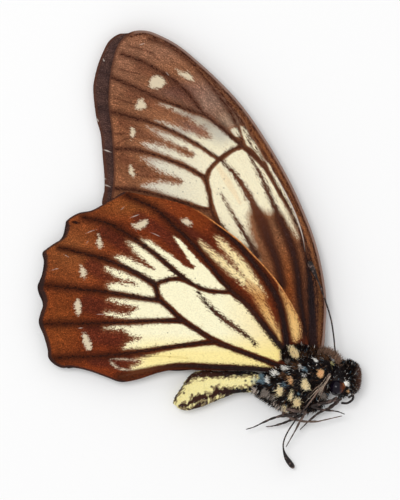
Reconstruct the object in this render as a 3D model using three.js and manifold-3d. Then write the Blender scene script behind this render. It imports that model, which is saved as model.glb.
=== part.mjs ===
// A dried swallowtail-like butterfly with its wings folded over its back, lying on its left side.
// Units are millimetres: +X to the right, +Y up across the wings, +Z towards the viewer.
// The insect's right side faces +Z, its left side faces the surface at Z = 0.

import * as THREE from 'three';
import { mergeVertices } from 'three/addons/utils/BufferGeometryUtils.js';
import Module from 'manifold-3d';

const wasm = await Module();
wasm.setup();

// Driving dimensions in millimetres
const FOREWING_LENGTH = 59.5;
const WING_THICKNESS = 0.3;
const WING_SPACING = 0.6;
const VEIN_WIDTH = 0.5;
const VEIN_HEIGHT = 0.1;
const BODY_MIDDLE_HEIGHT = 3.1;
const EYE_RADIUS = 1.2;
const EYE_OFFSET = 1.25;
const PALP_OFFSET = 0.95;
const PIECE_GAP = 0.2;
const WING_TILT = THREE.MathUtils.degToRad(2.77);

// Places are read in a picture 400 wide and 500 high, x to the right and y down.
// The forewing measures this many of its units from base to apex.
const FOREWING_IN_PICTURE = 371.9;
const SCALE = FOREWING_LENGTH / FOREWING_IN_PICTURE;
const PICTURE_CENTRE = { x: 197.61, y: 249.43 };

// The left hindwing's edge touches the surface near these two points, lifted by the edge's bulge
const REST_POINT_A = [37.3, 286];
const REST_POINT_B = [41.5, 320];
const REST_LIFT = 0.002;

const pictureX = (x) => (x - PICTURE_CENTRE.x) * SCALE;
const pictureY = (y) => (PICTURE_CENTRE.y - y) * SCALE;
const flatPoint = ([x, y]) => new THREE.Vector2(pictureX(x), pictureY(y));
const spacePoint = ([x, y, height]) => new THREE.Vector3(pictureX(x), pictureY(y), height);

// Wing outlines, clockwise from the wing's tip
const RIGHT_FOREWING_EDGE = [
  [130, 32.5], [145, 30.3], [160, 35], [180, 46], [200, 62.5], [220, 81], [238, 100], [253.5, 120],
  [273, 150], [290, 180], [304, 210], [315.5, 240], [323, 270], [327, 300], [326, 330], [324, 348],
  [317, 358], [306, 356], [288, 340], [250, 303], [200, 262], [150, 226], [118, 208], [112, 200],
  [114, 180], [114, 160], [112, 130], [109, 105], [110, 80], [113.5, 60], [119, 44],
];
const LEFT_FOREWING_EDGE = [
  [130, 34], [145, 33], [160, 37.5], [180, 48.5], [200, 66], [220, 85], [238, 104], [251, 120],
  [270, 150], [287, 180], [301, 210], [312.5, 240], [320, 270], [324, 300], [323, 330], [321, 346],
  [315, 357], [305, 357], [286, 342], [248, 306], [200, 268], [150, 234], [112, 212], [102.5, 204.5],
  [104.5, 190], [104.5, 175], [103, 158], [101, 135], [97, 120], [94.7, 105], [93.4, 90],
  [94.3, 80], [98, 65], [104, 50], [110, 40], [120, 33.5],
];
const RIGHT_HINDWING_EDGE = [
  [125, 192], [140, 194], [160, 198], [180, 203], [200, 211], [220, 225], [240, 240], [255, 255],
  [270, 271], [285, 291], [300, 317], [308, 338], [308, 350], [298, 362], [278, 371], [250, 370.5],
  [220, 370.5], [200, 370], [178, 369.5], [160, 372.5], [140, 379], [125, 382], [117, 381],
  [108, 377.5], [88, 370.5], [72, 367.5], [63, 368], [55, 364.5], [49, 358], [48, 349], [44, 335],
  [40, 326], [39.2, 320], [41, 313], [44, 303], [42.8, 296], [39.6, 288], [42, 279], [45.7, 268],
  [46.5, 256], [45, 251], [53, 244.5], [65, 236.5], [69, 226], [68, 220], [79, 213], [93, 210],
  [108, 201.5], [116, 197],
];
const LEFT_HINDWING_EDGE = [
  [127, 194], [140, 196], [160, 200], [180, 205], [200, 213.5], [220, 228], [240, 243], [255, 258],
  [270, 274], [284, 293], [298, 318], [306, 338], [306, 350], [296, 361], [276, 370], [250, 370],
  [220, 370], [200, 369.5], [178, 371], [160, 371], [140, 377.5], [125, 380.5], [117, 379.5],
  [108, 376], [88, 369], [72, 366], [63, 366], [57, 363], [51, 357], [50, 349], [46, 335],
  [42.5, 327], REST_POINT_B, [42.5, 313], [42, 302], [38.6, 294], REST_POINT_A, [41.5, 275],
  [43.5, 262], [42.5, 252], [53, 245.5], [62, 237], [65, 226], [67, 220], [79, 214], [93, 211],
  [108, 203], [116, 199],
];

// Veins, each from its inner end to its outer end
const FOREWING_VEINS = {
  subcostal: [[306, 240], [300, 215], [280, 177], [260, 144], [247, 121], [231, 100]],
  radial: [[311, 344], [308, 262], [301, 232], [287, 202], [270, 174], [255, 156], [243, 146]],
  radialOne: [[270, 172], [255, 145], [238, 114], [215, 83]],
  radialTwo: [[262, 160], [245, 128], [225, 98], [200, 66], [174, 44]],
  radialThree: [[243, 146], [233, 116], [213, 87], [190, 61], [152, 39]],
  radialStalk: [[243, 146], [227, 132], [207, 116]],
  radialFour: [[207, 116], [190, 95], [160, 70], [127, 56]],
  radialFive: [[207, 116], [180, 106.5], [150, 94], [118, 80]],
  cellEnd: [[243, 146], [229, 152], [220, 159], [211, 168], [206.5, 178], [211, 205], [222, 226]],
  medialTwo: [[220, 159], [200, 145.5], [160, 125.5], [115, 112.5]],
  cubitalOne: [[206.5, 178], [180, 163.5], [150, 153], [117, 149]],
  cubitalTwo: [[211.5, 211], [185, 202.5], [155, 194], [118, 189]],
};
const HINDWING_VEINS = {
  subcostal: [[290, 352], [286, 330], [275, 293], [255, 263], [235, 240], [224, 230]],
  radial: [[286, 350], [265, 326], [245, 302], [225, 283], [205, 257], [180, 231], [155, 208], [132, 197]],
  medialOne: [[230, 291], [205, 289], [185, 278.5], [160, 257], [130, 235.5], [92, 218.5]],
  cellEnd: [[184, 279], [166, 280], [156, 284], [159, 300]],
  medialTwo: [[156, 284], [130, 269.5], [100, 257.5], [64, 248]],
  medialThree: [[159, 300], [120, 294], [90, 290], [62, 287]],
  cubital: [[286, 368], [260, 358], [230, 347], [210, 337.5], [185, 321.5], [160, 300]],
  cubitalOne: [[184, 321], [140, 321], [100, 323.5], [64, 324]],
  cubitalTwo: [[213, 342], [170, 347], [120, 354], [74, 357.5]],
  anal: [[270, 369], [220, 366.5], [180, 365.5], [150, 370], [124, 377]],
};

// Body sections: back edge and belly edge in the picture, half width and middle height in millimetres
const ABDOMEN_SECTIONS = [
  { back: [268, 381], belly: [268, 381], halfWidth: 0, height: 2.9 },
  { back: [255, 372], belly: [255, 391], halfWidth: 1.6, height: 2.85 },
  { back: [235, 371.5], belly: [236, 393], halfWidth: 1.8, height: 2.6 },
  { back: [215, 371.5], belly: [219, 399.5], halfWidth: 1.9, height: 2.45 },
  { back: [200, 371.5], belly: [207, 404.5], halfWidth: 1.9, height: 2.35 },
  { back: [190, 375.5], belly: [197, 408], halfWidth: 1.8, height: 2.3 },
  { back: [183, 385.5], belly: [188, 410], halfWidth: 1.5, height: 2.2 },
  { back: [176.5, 395.5], belly: [180, 408.5], halfWidth: 0.9, height: 2.1 },
  { back: [173.5, 403], belly: [173.5, 403], halfWidth: 0, height: 2.1 },
];
const THORAX_SECTIONS = [
  { back: [256, 385], belly: [256, 385], halfWidth: 0, height: 3.0 },
  { back: [261, 377], belly: [261, 396], halfWidth: 1.9, height: 3.05 },
  { back: [271, 373], belly: [272, 402], halfWidth: 2.8, height: 3.1 },
  { back: [285, 365], belly: [288, 409], halfWidth: 3.3, height: 3.1 },
  { back: [301, 355], belly: [304, 411], halfWidth: 3.4, height: 3.1 },
  { back: [317, 350.5], belly: [318, 408], halfWidth: 3.2, height: 3.1 },
  { back: [329, 355], belly: [325, 398], halfWidth: 2.3, height: 3.1 },
  { back: [332, 376], belly: [332, 376], halfWidth: 0, height: 3.1 },
];
const HEAD_SECTIONS = [
  { back: [327, 380], belly: [327, 380], halfWidth: 0, height: 3.1 },
  { back: [331, 367], belly: [331, 393], halfWidth: 1.5, height: 3.1 },
  { back: [338, 362], belly: [339, 396], halfWidth: 1.8, height: 3.1 },
  { back: [346, 363], belly: [347, 394], halfWidth: 1.6, height: 3.1 },
  { back: [352, 378], belly: [352, 378], halfWidth: 0, height: 3.1 },
];
const PALP_SECTIONS = [
  { back: [350, 393], belly: [350, 393], halfWidth: 0, height: 0 },
  { back: [351.5, 387], belly: [356, 388.5], halfWidth: 0.6, height: 0 },
  { back: [352, 377], belly: [358, 377.5], halfWidth: 0.75, height: 0 },
  { back: [350.5, 369], belly: [355.5, 366.5], halfWidth: 0.65, height: 0 },
  { back: [346, 361.5], belly: [346, 361.5], halfWidth: 0, height: 0 },
];
const EYE_CENTRE = [336.5, 387];

// Legs: places with a height in millimetres, knee and ankle shared by neighbouring segments
const LEGS = {
  right_foreleg: {
    femur: [[337, 398.2, 4.4], [329, 401.5, 5.0], [311, 405.5, 5.6]],
    tibia: [[311, 405.5, 5.6], [320, 409, 5.4], [332, 410.5, 4.9]],
    tarsus: [[332, 410.5, 4.9], [338, 411.5, 4.6], [344.5, 414, 4.2]],
  },
  left_foreleg: {
    femur: [[340.5, 398, 2.5], [336, 403, 2.3], [329, 408.5, 2.2]],
    tibia: [[329, 408.5, 2.2], [319, 413, 2.1], [309, 421, 1.9]],
    tarsus: [[309, 421, 1.9], [304, 426, 1.8], [300, 430, 1.6]],
  },
  right_midleg: {
    femur: [[287, 408.5, 4.9], [296, 410.5, 4.9], [306, 411.5, 4.8]],
    tibia: [[306, 411.5, 4.8], [300, 421, 4.3], [296, 429, 3.9]],
    tarsus: [[296, 429, 3.9], [291, 438, 3.3], [286, 447, 2.6]],
  },
  left_midleg: {
    femur: [[283, 412.5, 3.05], [287, 415, 3.05], [294, 419.5, 3.05]],
    tibia: [[294, 419.5, 3.05], [305, 421.5, 3.0], [318, 421.5, 2.9]],
    tarsus: [[318, 421.5, 2.9], [331, 418.5, 2.7], [342, 416, 2.5]],
  },
  right_hindleg: {
    femur: [[296, 414, 4.0], [288, 415, 3.9], [280, 416, 3.8]],
    tibia: [[280, 416, 3.8], [272, 418.5, 3.5], [262, 423, 3.1]],
    tarsus: [[262, 423, 3.1], [254, 427, 2.6], [246, 429.5, 2.2]],
  },
  left_hindleg: {
    femur: [[302, 415, 2.4], [297, 417, 2.3], [291, 420, 2.2]],
    tibia: [[291, 420, 2.2], [284, 423, 2.0], [276, 425.5, 1.8]],
    tarsus: [[276, 425.5, 1.8], [271, 426.5, 1.6], [266, 427, 1.4]],
  },
};
const LEG_RADII = { femur: [0.3, 0.24], tibia: [0.2, 0.15], tarsus: [0.14, 0.09] };
const KNEE_RADIUS = 0.3;
const ANKLE_RADIUS = 0.19;

// Antennae from the head to the club, with the shaft's and the club's radius
const ANTENNAE = {
  upper_antenna: [
    [337.5, 359, 3.9], [335, 350, 4.2], [333.5, 336, 4.3], [331, 320, 4.4], [326, 303, 4.5],
    [320, 286, 4.5], [313.5, 271, 4.4], [308.5, 261, 4.3],
  ],
  lower_antenna: [
    [330, 373.5, 5.3], [324, 383, 5.9], [317.5, 391, 6.4], [307, 405, 6.2], [296, 419, 5.2],
    [287, 433, 4.0], [283.2, 445, 3.0], [286, 457, 2.1], [294, 468.5, 1.3],
  ],
};
const ANTENNA_SHAFT_RADIUS = 0.11;
const ANTENNA_CLUB_RADIUS = 0.3;
const ANTENNA_CLUB_START = 0.82;

const PROBOSCIS_PATH = [
  [348.5, 397.5, 3.1], [352.8, 395.5, 3.1], [352.5, 399.5, 3.1], [347.5, 403, 3.1], [341.5, 403, 3.1],
];
const PROBOSCIS_RADIUS = 0.15;

// Closed curve through the outline's points
function wingShape(edge) {
  const curve = new THREE.CatmullRomCurve3(edge.map(([x, y]) => spacePoint([x, y, 0])), true, 'centripetal');
  const points = curve.getPoints(edge.length * 2);
  points.pop();
  return new THREE.Shape(points.map((point) => new THREE.Vector2(point.x, point.y)));
}

// A flat layer of the wing from one height to another
function layer(shape, bottom, top) {
  const geometry = new THREE.ExtrudeGeometry(shape, { depth: top - bottom, bevelEnabled: false });
  geometry.translate(0, 0, bottom);
  return geometry;
}

// Strip of even width along a vein, as a flat shape
function veinShape(vein) {
  const line = new THREE.SplineCurve(vein.map(flatPoint));
  const steps = vein.length - 1 + Math.floor(vein.length / 2);
  const left = [];
  const right = [];
  for (let i = 0; i <= steps; i += 1) {
    const point = line.getPoint(i / steps);
    const along = line.getTangent(i / steps);
    const across = new THREE.Vector2(-along.y, along.x).multiplyScalar(VEIN_WIDTH / 2);
    left.push(point.clone().add(across));
    right.unshift(point.clone().sub(across));
  }
  return new THREE.Shape(left.concat(right));
}

// A closed solid for cutting and joining, from a geometry's positions alone
function solid(geometry) {
  const plain = geometry.clone();
  plain.deleteAttribute('normal');
  plain.deleteAttribute('uv');
  const merged = mergeVertices(plain, 1e-5);
  const vertProperties = new Float32Array(merged.attributes.position.array);
  const triVerts = new Uint32Array(merged.index.array);
  return new wasm.Manifold(new wasm.Mesh({ numProp: 3, vertProperties, triVerts }));
}

// A drawable geometry from a solid
function surface(body) {
  const mesh = body.getMesh();
  const geometry = new THREE.BufferGeometry();
  geometry.setAttribute('position', new THREE.BufferAttribute(new Float32Array(mesh.vertProperties), 3));
  geometry.setIndex(new THREE.BufferAttribute(new Uint32Array(mesh.triVerts), 1));
  geometry.computeVertexNormals();
  return geometry;
}

// Rounded body: a ball whose rings follow the sections from pole to pole, grown outward by extra
function formedBody(sections, extra, rings, sides, offset = 0) {
  const backs = new THREE.CatmullRomCurve3(sections.map((s) => spacePoint([...s.back, s.height + offset])));
  const bellies = new THREE.CatmullRomCurve3(sections.map((s) => spacePoint([...s.belly, s.height + offset])));
  const widths = new THREE.CatmullRomCurve3(sections.map((s) => new THREE.Vector3(s.halfWidth, 0, 0)));
  const ball = new THREE.SphereGeometry(1, sides, rings);
  const positions = ball.attributes.position;
  for (let i = 0; i < positions.count; i += 1) {
    const unit = new THREE.Vector3().fromBufferAttribute(positions, i);
    const along = Math.acos(THREE.MathUtils.clamp(unit.y, -1, 1)) / Math.PI;
    const turn = Math.atan2(unit.z, unit.x);
    const ringSize = along < 1e-4 || along > 1 - 1e-4 ? 0 : 1;
    const back = backs.getPoint(along);
    const belly = bellies.getPoint(along);
    const middle = back.clone().add(belly).multiplyScalar(0.5);
    const half = back.clone().sub(belly).multiplyScalar(0.5);
    const growth = half.length() > 1e-6 ? (half.length() + extra) / half.length() : 1;
    const width = widths.getPoint(along).x + extra;
    middle.addScaledVector(half, growth * Math.cos(turn) * ringSize);
    middle.z += width * Math.sin(turn) * ringSize;
    const ahead = middle.clone().sub(backs.getPoint(0.5));
    if (ringSize === 0 && extra > 0) middle.addScaledVector(ahead.normalize(), extra);
    positions.setXYZ(i, middle.x, middle.y, middle.z);
  }
  return facingOut(ball);
}

// Turns a closed geometry's faces outward where its volume comes out negative
function facingOut(geometry) {
  const { position } = geometry.attributes;
  const index = geometry.index.array;
  let volume = 0;
  const corner = [0, 1, 2].map(() => new THREE.Vector3());
  for (let i = 0; i < index.length; i += 3) {
    corner.forEach((point, k) => point.fromBufferAttribute(position, index[i + k]));
    volume += corner[0].dot(corner[1].clone().cross(corner[2]));
  }
  if (volume < 0) {
    for (let i = 0; i < index.length; i += 3) {
      [index[i], index[i + 1]] = [index[i + 1], index[i]];
    }
  }
  return geometry;
}

// Tapered rod along a smooth path, made from a ball drawn out between its poles
function rod(path, radiusAt, rings, sides) {
  const curve = new THREE.CatmullRomCurve3(path.map(spacePoint), false, 'centripetal');
  const frames = curve.computeFrenetFrames(rings, false);
  const ball = new THREE.SphereGeometry(1, sides, rings);
  const { position } = ball.attributes;
  for (let i = 0; i < position.count; i += 1) {
    const unit = new THREE.Vector3().fromBufferAttribute(position, i);
    const along = Math.acos(THREE.MathUtils.clamp(unit.y, -1, 1)) / Math.PI;
    const ring = Math.round(along * rings);
    const turn = Math.atan2(unit.z, unit.x);
    const radius = ring === 0 || ring === rings ? 0 : radiusAt(along);
    const point = curve.getPointAt(along);
    point.addScaledVector(frames.normals[ring], radius * Math.cos(turn));
    point.addScaledVector(frames.binormals[ring], radius * Math.sin(turn));
    position.setXYZ(i, point.x, point.y, point.z);
  }
  return facingOut(ball);
}

function ball(centre, radius, rings, sides) {
  const geometry = new THREE.SphereGeometry(radius, sides, rings);
  geometry.translate(centre.x, centre.y, centre.z);
  return geometry;
}

// The folded wings lie in one sloping plane that leaves the surface along the line of the rest points
const restPoint = spacePoint([...REST_POINT_A, REST_LIFT]);
const restLine = restPoint.clone().sub(spacePoint([...REST_POINT_B, REST_LIFT])).normalize();
const wingSlope = new THREE.Quaternion().setFromAxisAngle(restLine, -WING_TILT);
const slopeMatrix = new THREE.Matrix4()
  .makeTranslation(restPoint.x, restPoint.y, restPoint.z)
  .multiply(new THREE.Matrix4().makeRotationFromQuaternion(wingSlope))
  .multiply(new THREE.Matrix4().makeTranslation(-restPoint.x, -restPoint.y, 0));
const intoSlope = slopeMatrix.clone().invert();

const bodyWithGap = formedBody(THORAX_SECTIONS, PIECE_GAP, 12, 16).applyMatrix4(intoSlope);

// One wing: a thin plate with low vein ridges on its outer side, cut back at the thorax
function wing(edge, veins, level, outward) {
  const bottom = level * WING_SPACING;
  const top = bottom + WING_THICKNESS;
  const ridgeBottom = outward > 0 ? bottom + WING_THICKNESS / 2 : bottom - VEIN_HEIGHT;
  const ridgeTop = outward > 0 ? top + VEIN_HEIGHT : top - WING_THICKNESS / 2;
  let plate = solid(layer(wingShape(edge), bottom, top));
  Object.values(veins).forEach((vein) => {
    plate = plate.add(solid(layer(veinShape(vein), ridgeBottom, ridgeTop)));
  });
  return surface(plate.subtract(solid(bodyWithGap)));
}

const eyeCentre = (side) => spacePoint([...EYE_CENTRE, BODY_MIDDLE_HEIGHT + side * EYE_OFFSET]);

function thorax() {
  const below = new THREE.BoxGeometry(60, 60, 4);
  below.translate(pictureX(300), pictureY(380), -2);
  let body = solid(formedBody(THORAX_SECTIONS, 0, 12, 16)).subtract(solid(below));
  body = body.subtract(solid(formedBody(HEAD_SECTIONS, PIECE_GAP, 10, 14)));
  [-1, 1].forEach((side) => {
    body = body.subtract(solid(ball(eyeCentre(side), EYE_RADIUS + PIECE_GAP, 8, 12)));
  });
  return surface(body);
}

function abdomen() {
  const body = solid(formedBody(ABDOMEN_SECTIONS, 0, 16, 16));
  return surface(body.subtract(solid(formedBody(THORAX_SECTIONS, PIECE_GAP, 12, 16))));
}

function head() {
  let body = solid(formedBody(HEAD_SECTIONS, 0, 10, 14));
  [-1, 1].forEach((side) => {
    const offset = BODY_MIDDLE_HEIGHT + side * PALP_OFFSET;
    body = body.subtract(solid(ball(eyeCentre(side), EYE_RADIUS + PIECE_GAP, 8, 12)));
    body = body.subtract(solid(formedBody(PALP_SECTIONS, PIECE_GAP, 8, 8, offset)));
  });
  return surface(body);
}

// Leg: femur, tibia and tarsus joined at a round knee and ankle
function leg(parts) {
  let body = null;
  Object.entries(parts).forEach(([name, path]) => {
    const [thick, thin] = LEG_RADII[name];
    const segment = solid(rod(path, (along) => thick + (thin - thick) * along, 5, 6));
    body = body ? body.add(segment) : segment;
  });
  body = body.add(solid(ball(spacePoint(parts.femur[2]), KNEE_RADIUS, 4, 6)));
  body = body.add(solid(ball(spacePoint(parts.tibia[2]), ANKLE_RADIUS, 4, 6)));
  return surface(body);
}

// Antenna radius: an even shaft that swells to the club near its tip
function antennaRadius(along) {
  const swell = THREE.MathUtils.smoothstep(along, ANTENNA_CLUB_START, 1);
  return ANTENNA_SHAFT_RADIUS + (ANTENNA_CLUB_RADIUS - ANTENNA_SHAFT_RADIUS) * swell;
}

const material = (color, roughness) => new THREE.MeshStandardMaterial({ color, roughness, metalness: 0 });
const WING_SCALES = material(0x8a5632, 0.8);
const BODY_HAIR = material(0x3a2a20, 0.9);
const ABDOMEN_SCALES = material(0xf2e6b0, 0.8);
const EYE_GLOSS = material(0x120d12, 0.15);
const LEG_CUTICLE = material(0x2c201b, 0.5);

function piece(name, geometry, finish) {
  const mesh = new THREE.Mesh(geometry, finish);
  mesh.name = name;
  return mesh;
}

function foldedWings() {
  const slope = new THREE.Group();
  slope.position.copy(restPoint);
  slope.quaternion.copy(wingSlope);
  const flat = new THREE.Group();
  flat.position.set(-restPoint.x, -restPoint.y, 0);
  slope.add(flat);
  flat.add(piece('left_hindwing', wing(LEFT_HINDWING_EDGE, HINDWING_VEINS, 0, -1), WING_SCALES));
  flat.add(piece('left_forewing', wing(LEFT_FOREWING_EDGE, FOREWING_VEINS, 1, -1), WING_SCALES));
  flat.add(piece('right_forewing', wing(RIGHT_FOREWING_EDGE, FOREWING_VEINS, 2, 1), WING_SCALES));
  flat.add(piece('right_hindwing', wing(RIGHT_HINDWING_EDGE, HINDWING_VEINS, 3, 1), WING_SCALES));
  return slope;
}

function butterfly() {
  const group = new THREE.Group();
  group.add(foldedWings());
  group.add(piece('thorax', thorax(), BODY_HAIR));
  group.add(piece('abdomen', abdomen(), ABDOMEN_SCALES));
  group.add(piece('head', head(), BODY_HAIR));
  const proboscis = rod(PROBOSCIS_PATH, () => PROBOSCIS_RADIUS, 14, 6);
  group.add(piece('proboscis', proboscis, LEG_CUTICLE));
  [['right', 1], ['left', -1]].forEach(([name, side]) => {
    const palp = formedBody(PALP_SECTIONS, 0, 8, 8, BODY_MIDDLE_HEIGHT + side * PALP_OFFSET);
    group.add(piece(`${name}_eye`, ball(eyeCentre(side), EYE_RADIUS, 8, 14), EYE_GLOSS));
    group.add(piece(`${name}_palp`, palp, BODY_HAIR));
  });
  Object.entries(LEGS).forEach(([name, parts]) => {
    group.add(piece(name, leg(parts), LEG_CUTICLE));
  });
  Object.entries(ANTENNAE).forEach(([name, path]) => {
    group.add(piece(name, rod(path, antennaRadius, 20, 6), LEG_CUTICLE));
  });
  return group;
}

export default butterfly();
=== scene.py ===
import math

import bpy
import numpy as np
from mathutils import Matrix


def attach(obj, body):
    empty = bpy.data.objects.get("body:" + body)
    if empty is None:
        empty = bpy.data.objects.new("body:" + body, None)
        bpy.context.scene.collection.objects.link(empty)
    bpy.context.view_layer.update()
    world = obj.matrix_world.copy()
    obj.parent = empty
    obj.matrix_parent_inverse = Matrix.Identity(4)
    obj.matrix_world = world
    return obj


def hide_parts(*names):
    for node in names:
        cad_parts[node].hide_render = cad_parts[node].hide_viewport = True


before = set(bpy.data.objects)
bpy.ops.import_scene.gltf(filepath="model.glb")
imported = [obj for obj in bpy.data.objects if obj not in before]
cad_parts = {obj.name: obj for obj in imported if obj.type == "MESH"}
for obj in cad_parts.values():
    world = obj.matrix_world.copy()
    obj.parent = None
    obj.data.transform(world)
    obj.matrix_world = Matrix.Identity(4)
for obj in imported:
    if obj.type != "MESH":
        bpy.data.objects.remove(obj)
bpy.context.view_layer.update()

# A dried butterfly lying on its left side with its wings folded over its back.
# Every piece is a surface worked out with numpy and placed in the frame's own metres.

bl_info = {
    "name": "Dried Butterfly",
    "version": (1, 0, 0),
    "blender": (4, 5, 0),
    "location": "View3D > Sidebar > Butterfly",
    "description": "Builds a dried butterfly specimen with scaled wings, haired body, legs and antennae",
    "category": "Add Mesh",
}

MM = 0.001
FOREWING_LENGTH = 59.5 * MM
FOREWING_IN_PICTURE = 371.9
SCALE = FOREWING_LENGTH / FOREWING_IN_PICTURE
PICTURE_CENTRE = np.array([197.61, 249.43])
PICTURE_SIZE = (400, 500)

# How the folded wings lie: a plane that leaves the floor along the line of two rest points
WING_TILT = math.radians(2.77)
WING_SPACING = 0.6 * MM
PLATE_THICKNESS = 0.3 * MM
REST_POINT_A = (37.3, 286)
REST_POINT_B = (41.5, 320)
BODY_MIDDLE_HEIGHT = 3.1 * MM
EYE_RADIUS = 1.2 * MM
EYE_OFFSET = 1.25 * MM
PALP_OFFSET = 0.95 * MM
EYE_CENTRE = (336.5, 387)
EYE_CLEARANCE = 9.0
FLOOR_CLEARANCE = 0.15 * MM

# Wing outlines in the picture, clockwise from the wing's tip, and where their corners stand:
# tip, front base, rear base and rear corner
RIGHT_FOREWING_EDGE = [
    (130, 32.5), (145, 30.3), (160, 35), (180, 46), (200, 62.5), (220, 81), (238, 100), (253.5, 120),
    (273, 150), (290, 180), (304, 210), (315.5, 240), (323, 270), (327, 300), (326, 330), (324, 348),
    (317, 358), (306, 356), (288, 340), (250, 303), (200, 262), (150, 226), (118, 208), (112, 200),
    (114, 180), (114, 160), (112, 130), (109, 105), (110, 80), (113.5, 60), (119, 44),
]
LEFT_FOREWING_EDGE = [
    (130, 34), (145, 33), (160, 37.5), (180, 48.5), (200, 66), (220, 85), (238, 104), (251, 120),
    (270, 150), (287, 180), (301, 210), (312.5, 240), (320, 270), (324, 300), (323, 330), (321, 346),
    (315, 357), (305, 357), (286, 342), (248, 306), (200, 268), (150, 234), (112, 212), (102.5, 204.5),
    (104.5, 190), (104.5, 175), (103, 158), (101, 135), (97, 120), (94.7, 105), (93.4, 90),
    (94.3, 80), (98, 65), (104, 50), (110, 40), (120, 33.5),
]
FOREWING_CORNERS = (0, 15, 17, 23)
RIGHT_HINDWING_EDGE = [
    (125, 192), (140, 194), (160, 198), (180, 203), (200, 211), (220, 225), (240, 240), (255, 255),
    (270, 271), (285, 291), (300, 317), (308, 338), (308, 350), (298, 362), (278, 371), (250, 370.5),
    (220, 370.5), (200, 370), (178, 369.5), (160, 372.5), (140, 379), (125, 382), (117, 381),
    (108, 377.5), (88, 370.5), (72, 367.5), (63, 368), (55, 364.5), (49, 358), (48, 349), (44, 335),
    (40, 326), (39.2, 320), (41, 313), (44, 303), (42.8, 296), (39.6, 288), (42, 279), (45.7, 268),
    (46.5, 256), (45, 251), (53, 244.5), (65, 236.5), (69, 226), (68, 220), (79, 213), (93, 210),
    (108, 201.5), (116, 197),
]
LEFT_HINDWING_EDGE = [
    (127, 194), (140, 196), (160, 200), (180, 205), (200, 213.5), (220, 228), (240, 243), (255, 258),
    (270, 274), (284, 293), (298, 318), (306, 338), (306, 350), (296, 361), (276, 370), (250, 370),
    (220, 370), (200, 369.5), (178, 371), (160, 371), (140, 377.5), (125, 380.5), (117, 379.5),
    (108, 376), (88, 369), (72, 366), (63, 366), (57, 363), (51, 357), (50, 349), (46, 335),
    (42.5, 327), REST_POINT_B, (42.5, 313), (42, 302), (38.6, 294), REST_POINT_A, (41.5, 275),
    (43.5, 262), (42.5, 252), (53, 245.5), (62, 237), (65, 226), (67, 220), (79, 214), (93, 211),
    (108, 203), (116, 199),
]
HINDWING_CORNERS = (0, 12, 14, 21)

# Veins of each wing: half width at the inner and the outer end in picture units, then the line
FOREWING_VEINS = [
    (1.2, 0.7, [(243, 146), (241, 137), (238, 127), (233, 116), (227, 106), (213, 87), (200, 71.5),
                (190, 61), (170, 46), (150, 39)]),
    (0.9, 0.5, [(265, 165), (255, 152), (250, 141), (240, 119), (225, 98), (207, 74), (190, 57), (172, 43)]),
    (0.9, 0.5, [(268, 168), (262, 157), (250, 134), (238, 114), (222, 92), (214, 82)]),
    (0.9, 0.5, [(300, 215), (290, 195), (275, 168), (260, 144), (247, 121), (230, 99)]),
    (2.0, 1.8, [(243, 146), (235, 139), (227, 132), (220, 126), (207, 116)]),
    (1.2, 0.9, [(207, 116), (200, 108), (190, 95), (180, 85), (170, 77), (150, 65), (140, 60), (122, 54)]),
    (1.3, 1.2, [(207, 116), (200, 113.5), (180, 106.5), (160, 99), (150, 94), (130, 85), (112, 77)]),
    (1.5, 1.5, [(243, 146), (236, 148), (229, 152), (222, 157), (220, 159)]),
    (1.0, 0.9, [(220, 159), (215, 163), (211, 168), (208, 174), (206.5, 178)]),
    (1.6, 2.2, [(206.5, 178), (208, 187), (210, 195), (211, 205), (213, 213), (219, 222), (226, 230)]),
    (1.4, 1.2, [(220, 159), (210, 152), (190, 139.5), (170, 129.5), (150, 122), (130, 116.5), (109, 111)]),
    (1.6, 1.2, [(206.5, 178), (190, 168), (170, 160), (150, 153), (130, 149), (114, 149)]),
    (1.6, 1.4, [(211, 210), (195, 206), (175, 199.5), (155, 194), (135, 189.5), (113, 188.5)]),
    (1.8, 1.4, [(312, 350), (310, 300), (308, 262), (303, 243), (301, 232), (292, 212), (281, 192),
                (270, 174), (261, 162), (255, 156), (243, 146)]),
]
FOREWING_STREAKS = [
    ((2.2, 2.8, 3.5, 3.8, 3.2, 2.2, 1.2), [
        (283, 285), (277, 260), (269, 240), (262, 220), (254, 204), (245, 188), (235, 174), (225, 163), (220, 159)]),
    ((1.5, 1.8, 2.2, 2.6, 3.0, 3.0, 2.5, 1.8, 0.9), [
        (309, 350), (305, 322), (301, 300), (297, 265), (288, 235), (280, 217), (272, 199), (264, 181), (254, 162), (249, 152)]),
    ((2.6, 2.4, 2.2, 1.5, 0.8, 0.2), [(258, 256), (248, 239), (240, 225), (231, 210), (224, 197), (220, 192)]),
]
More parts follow.
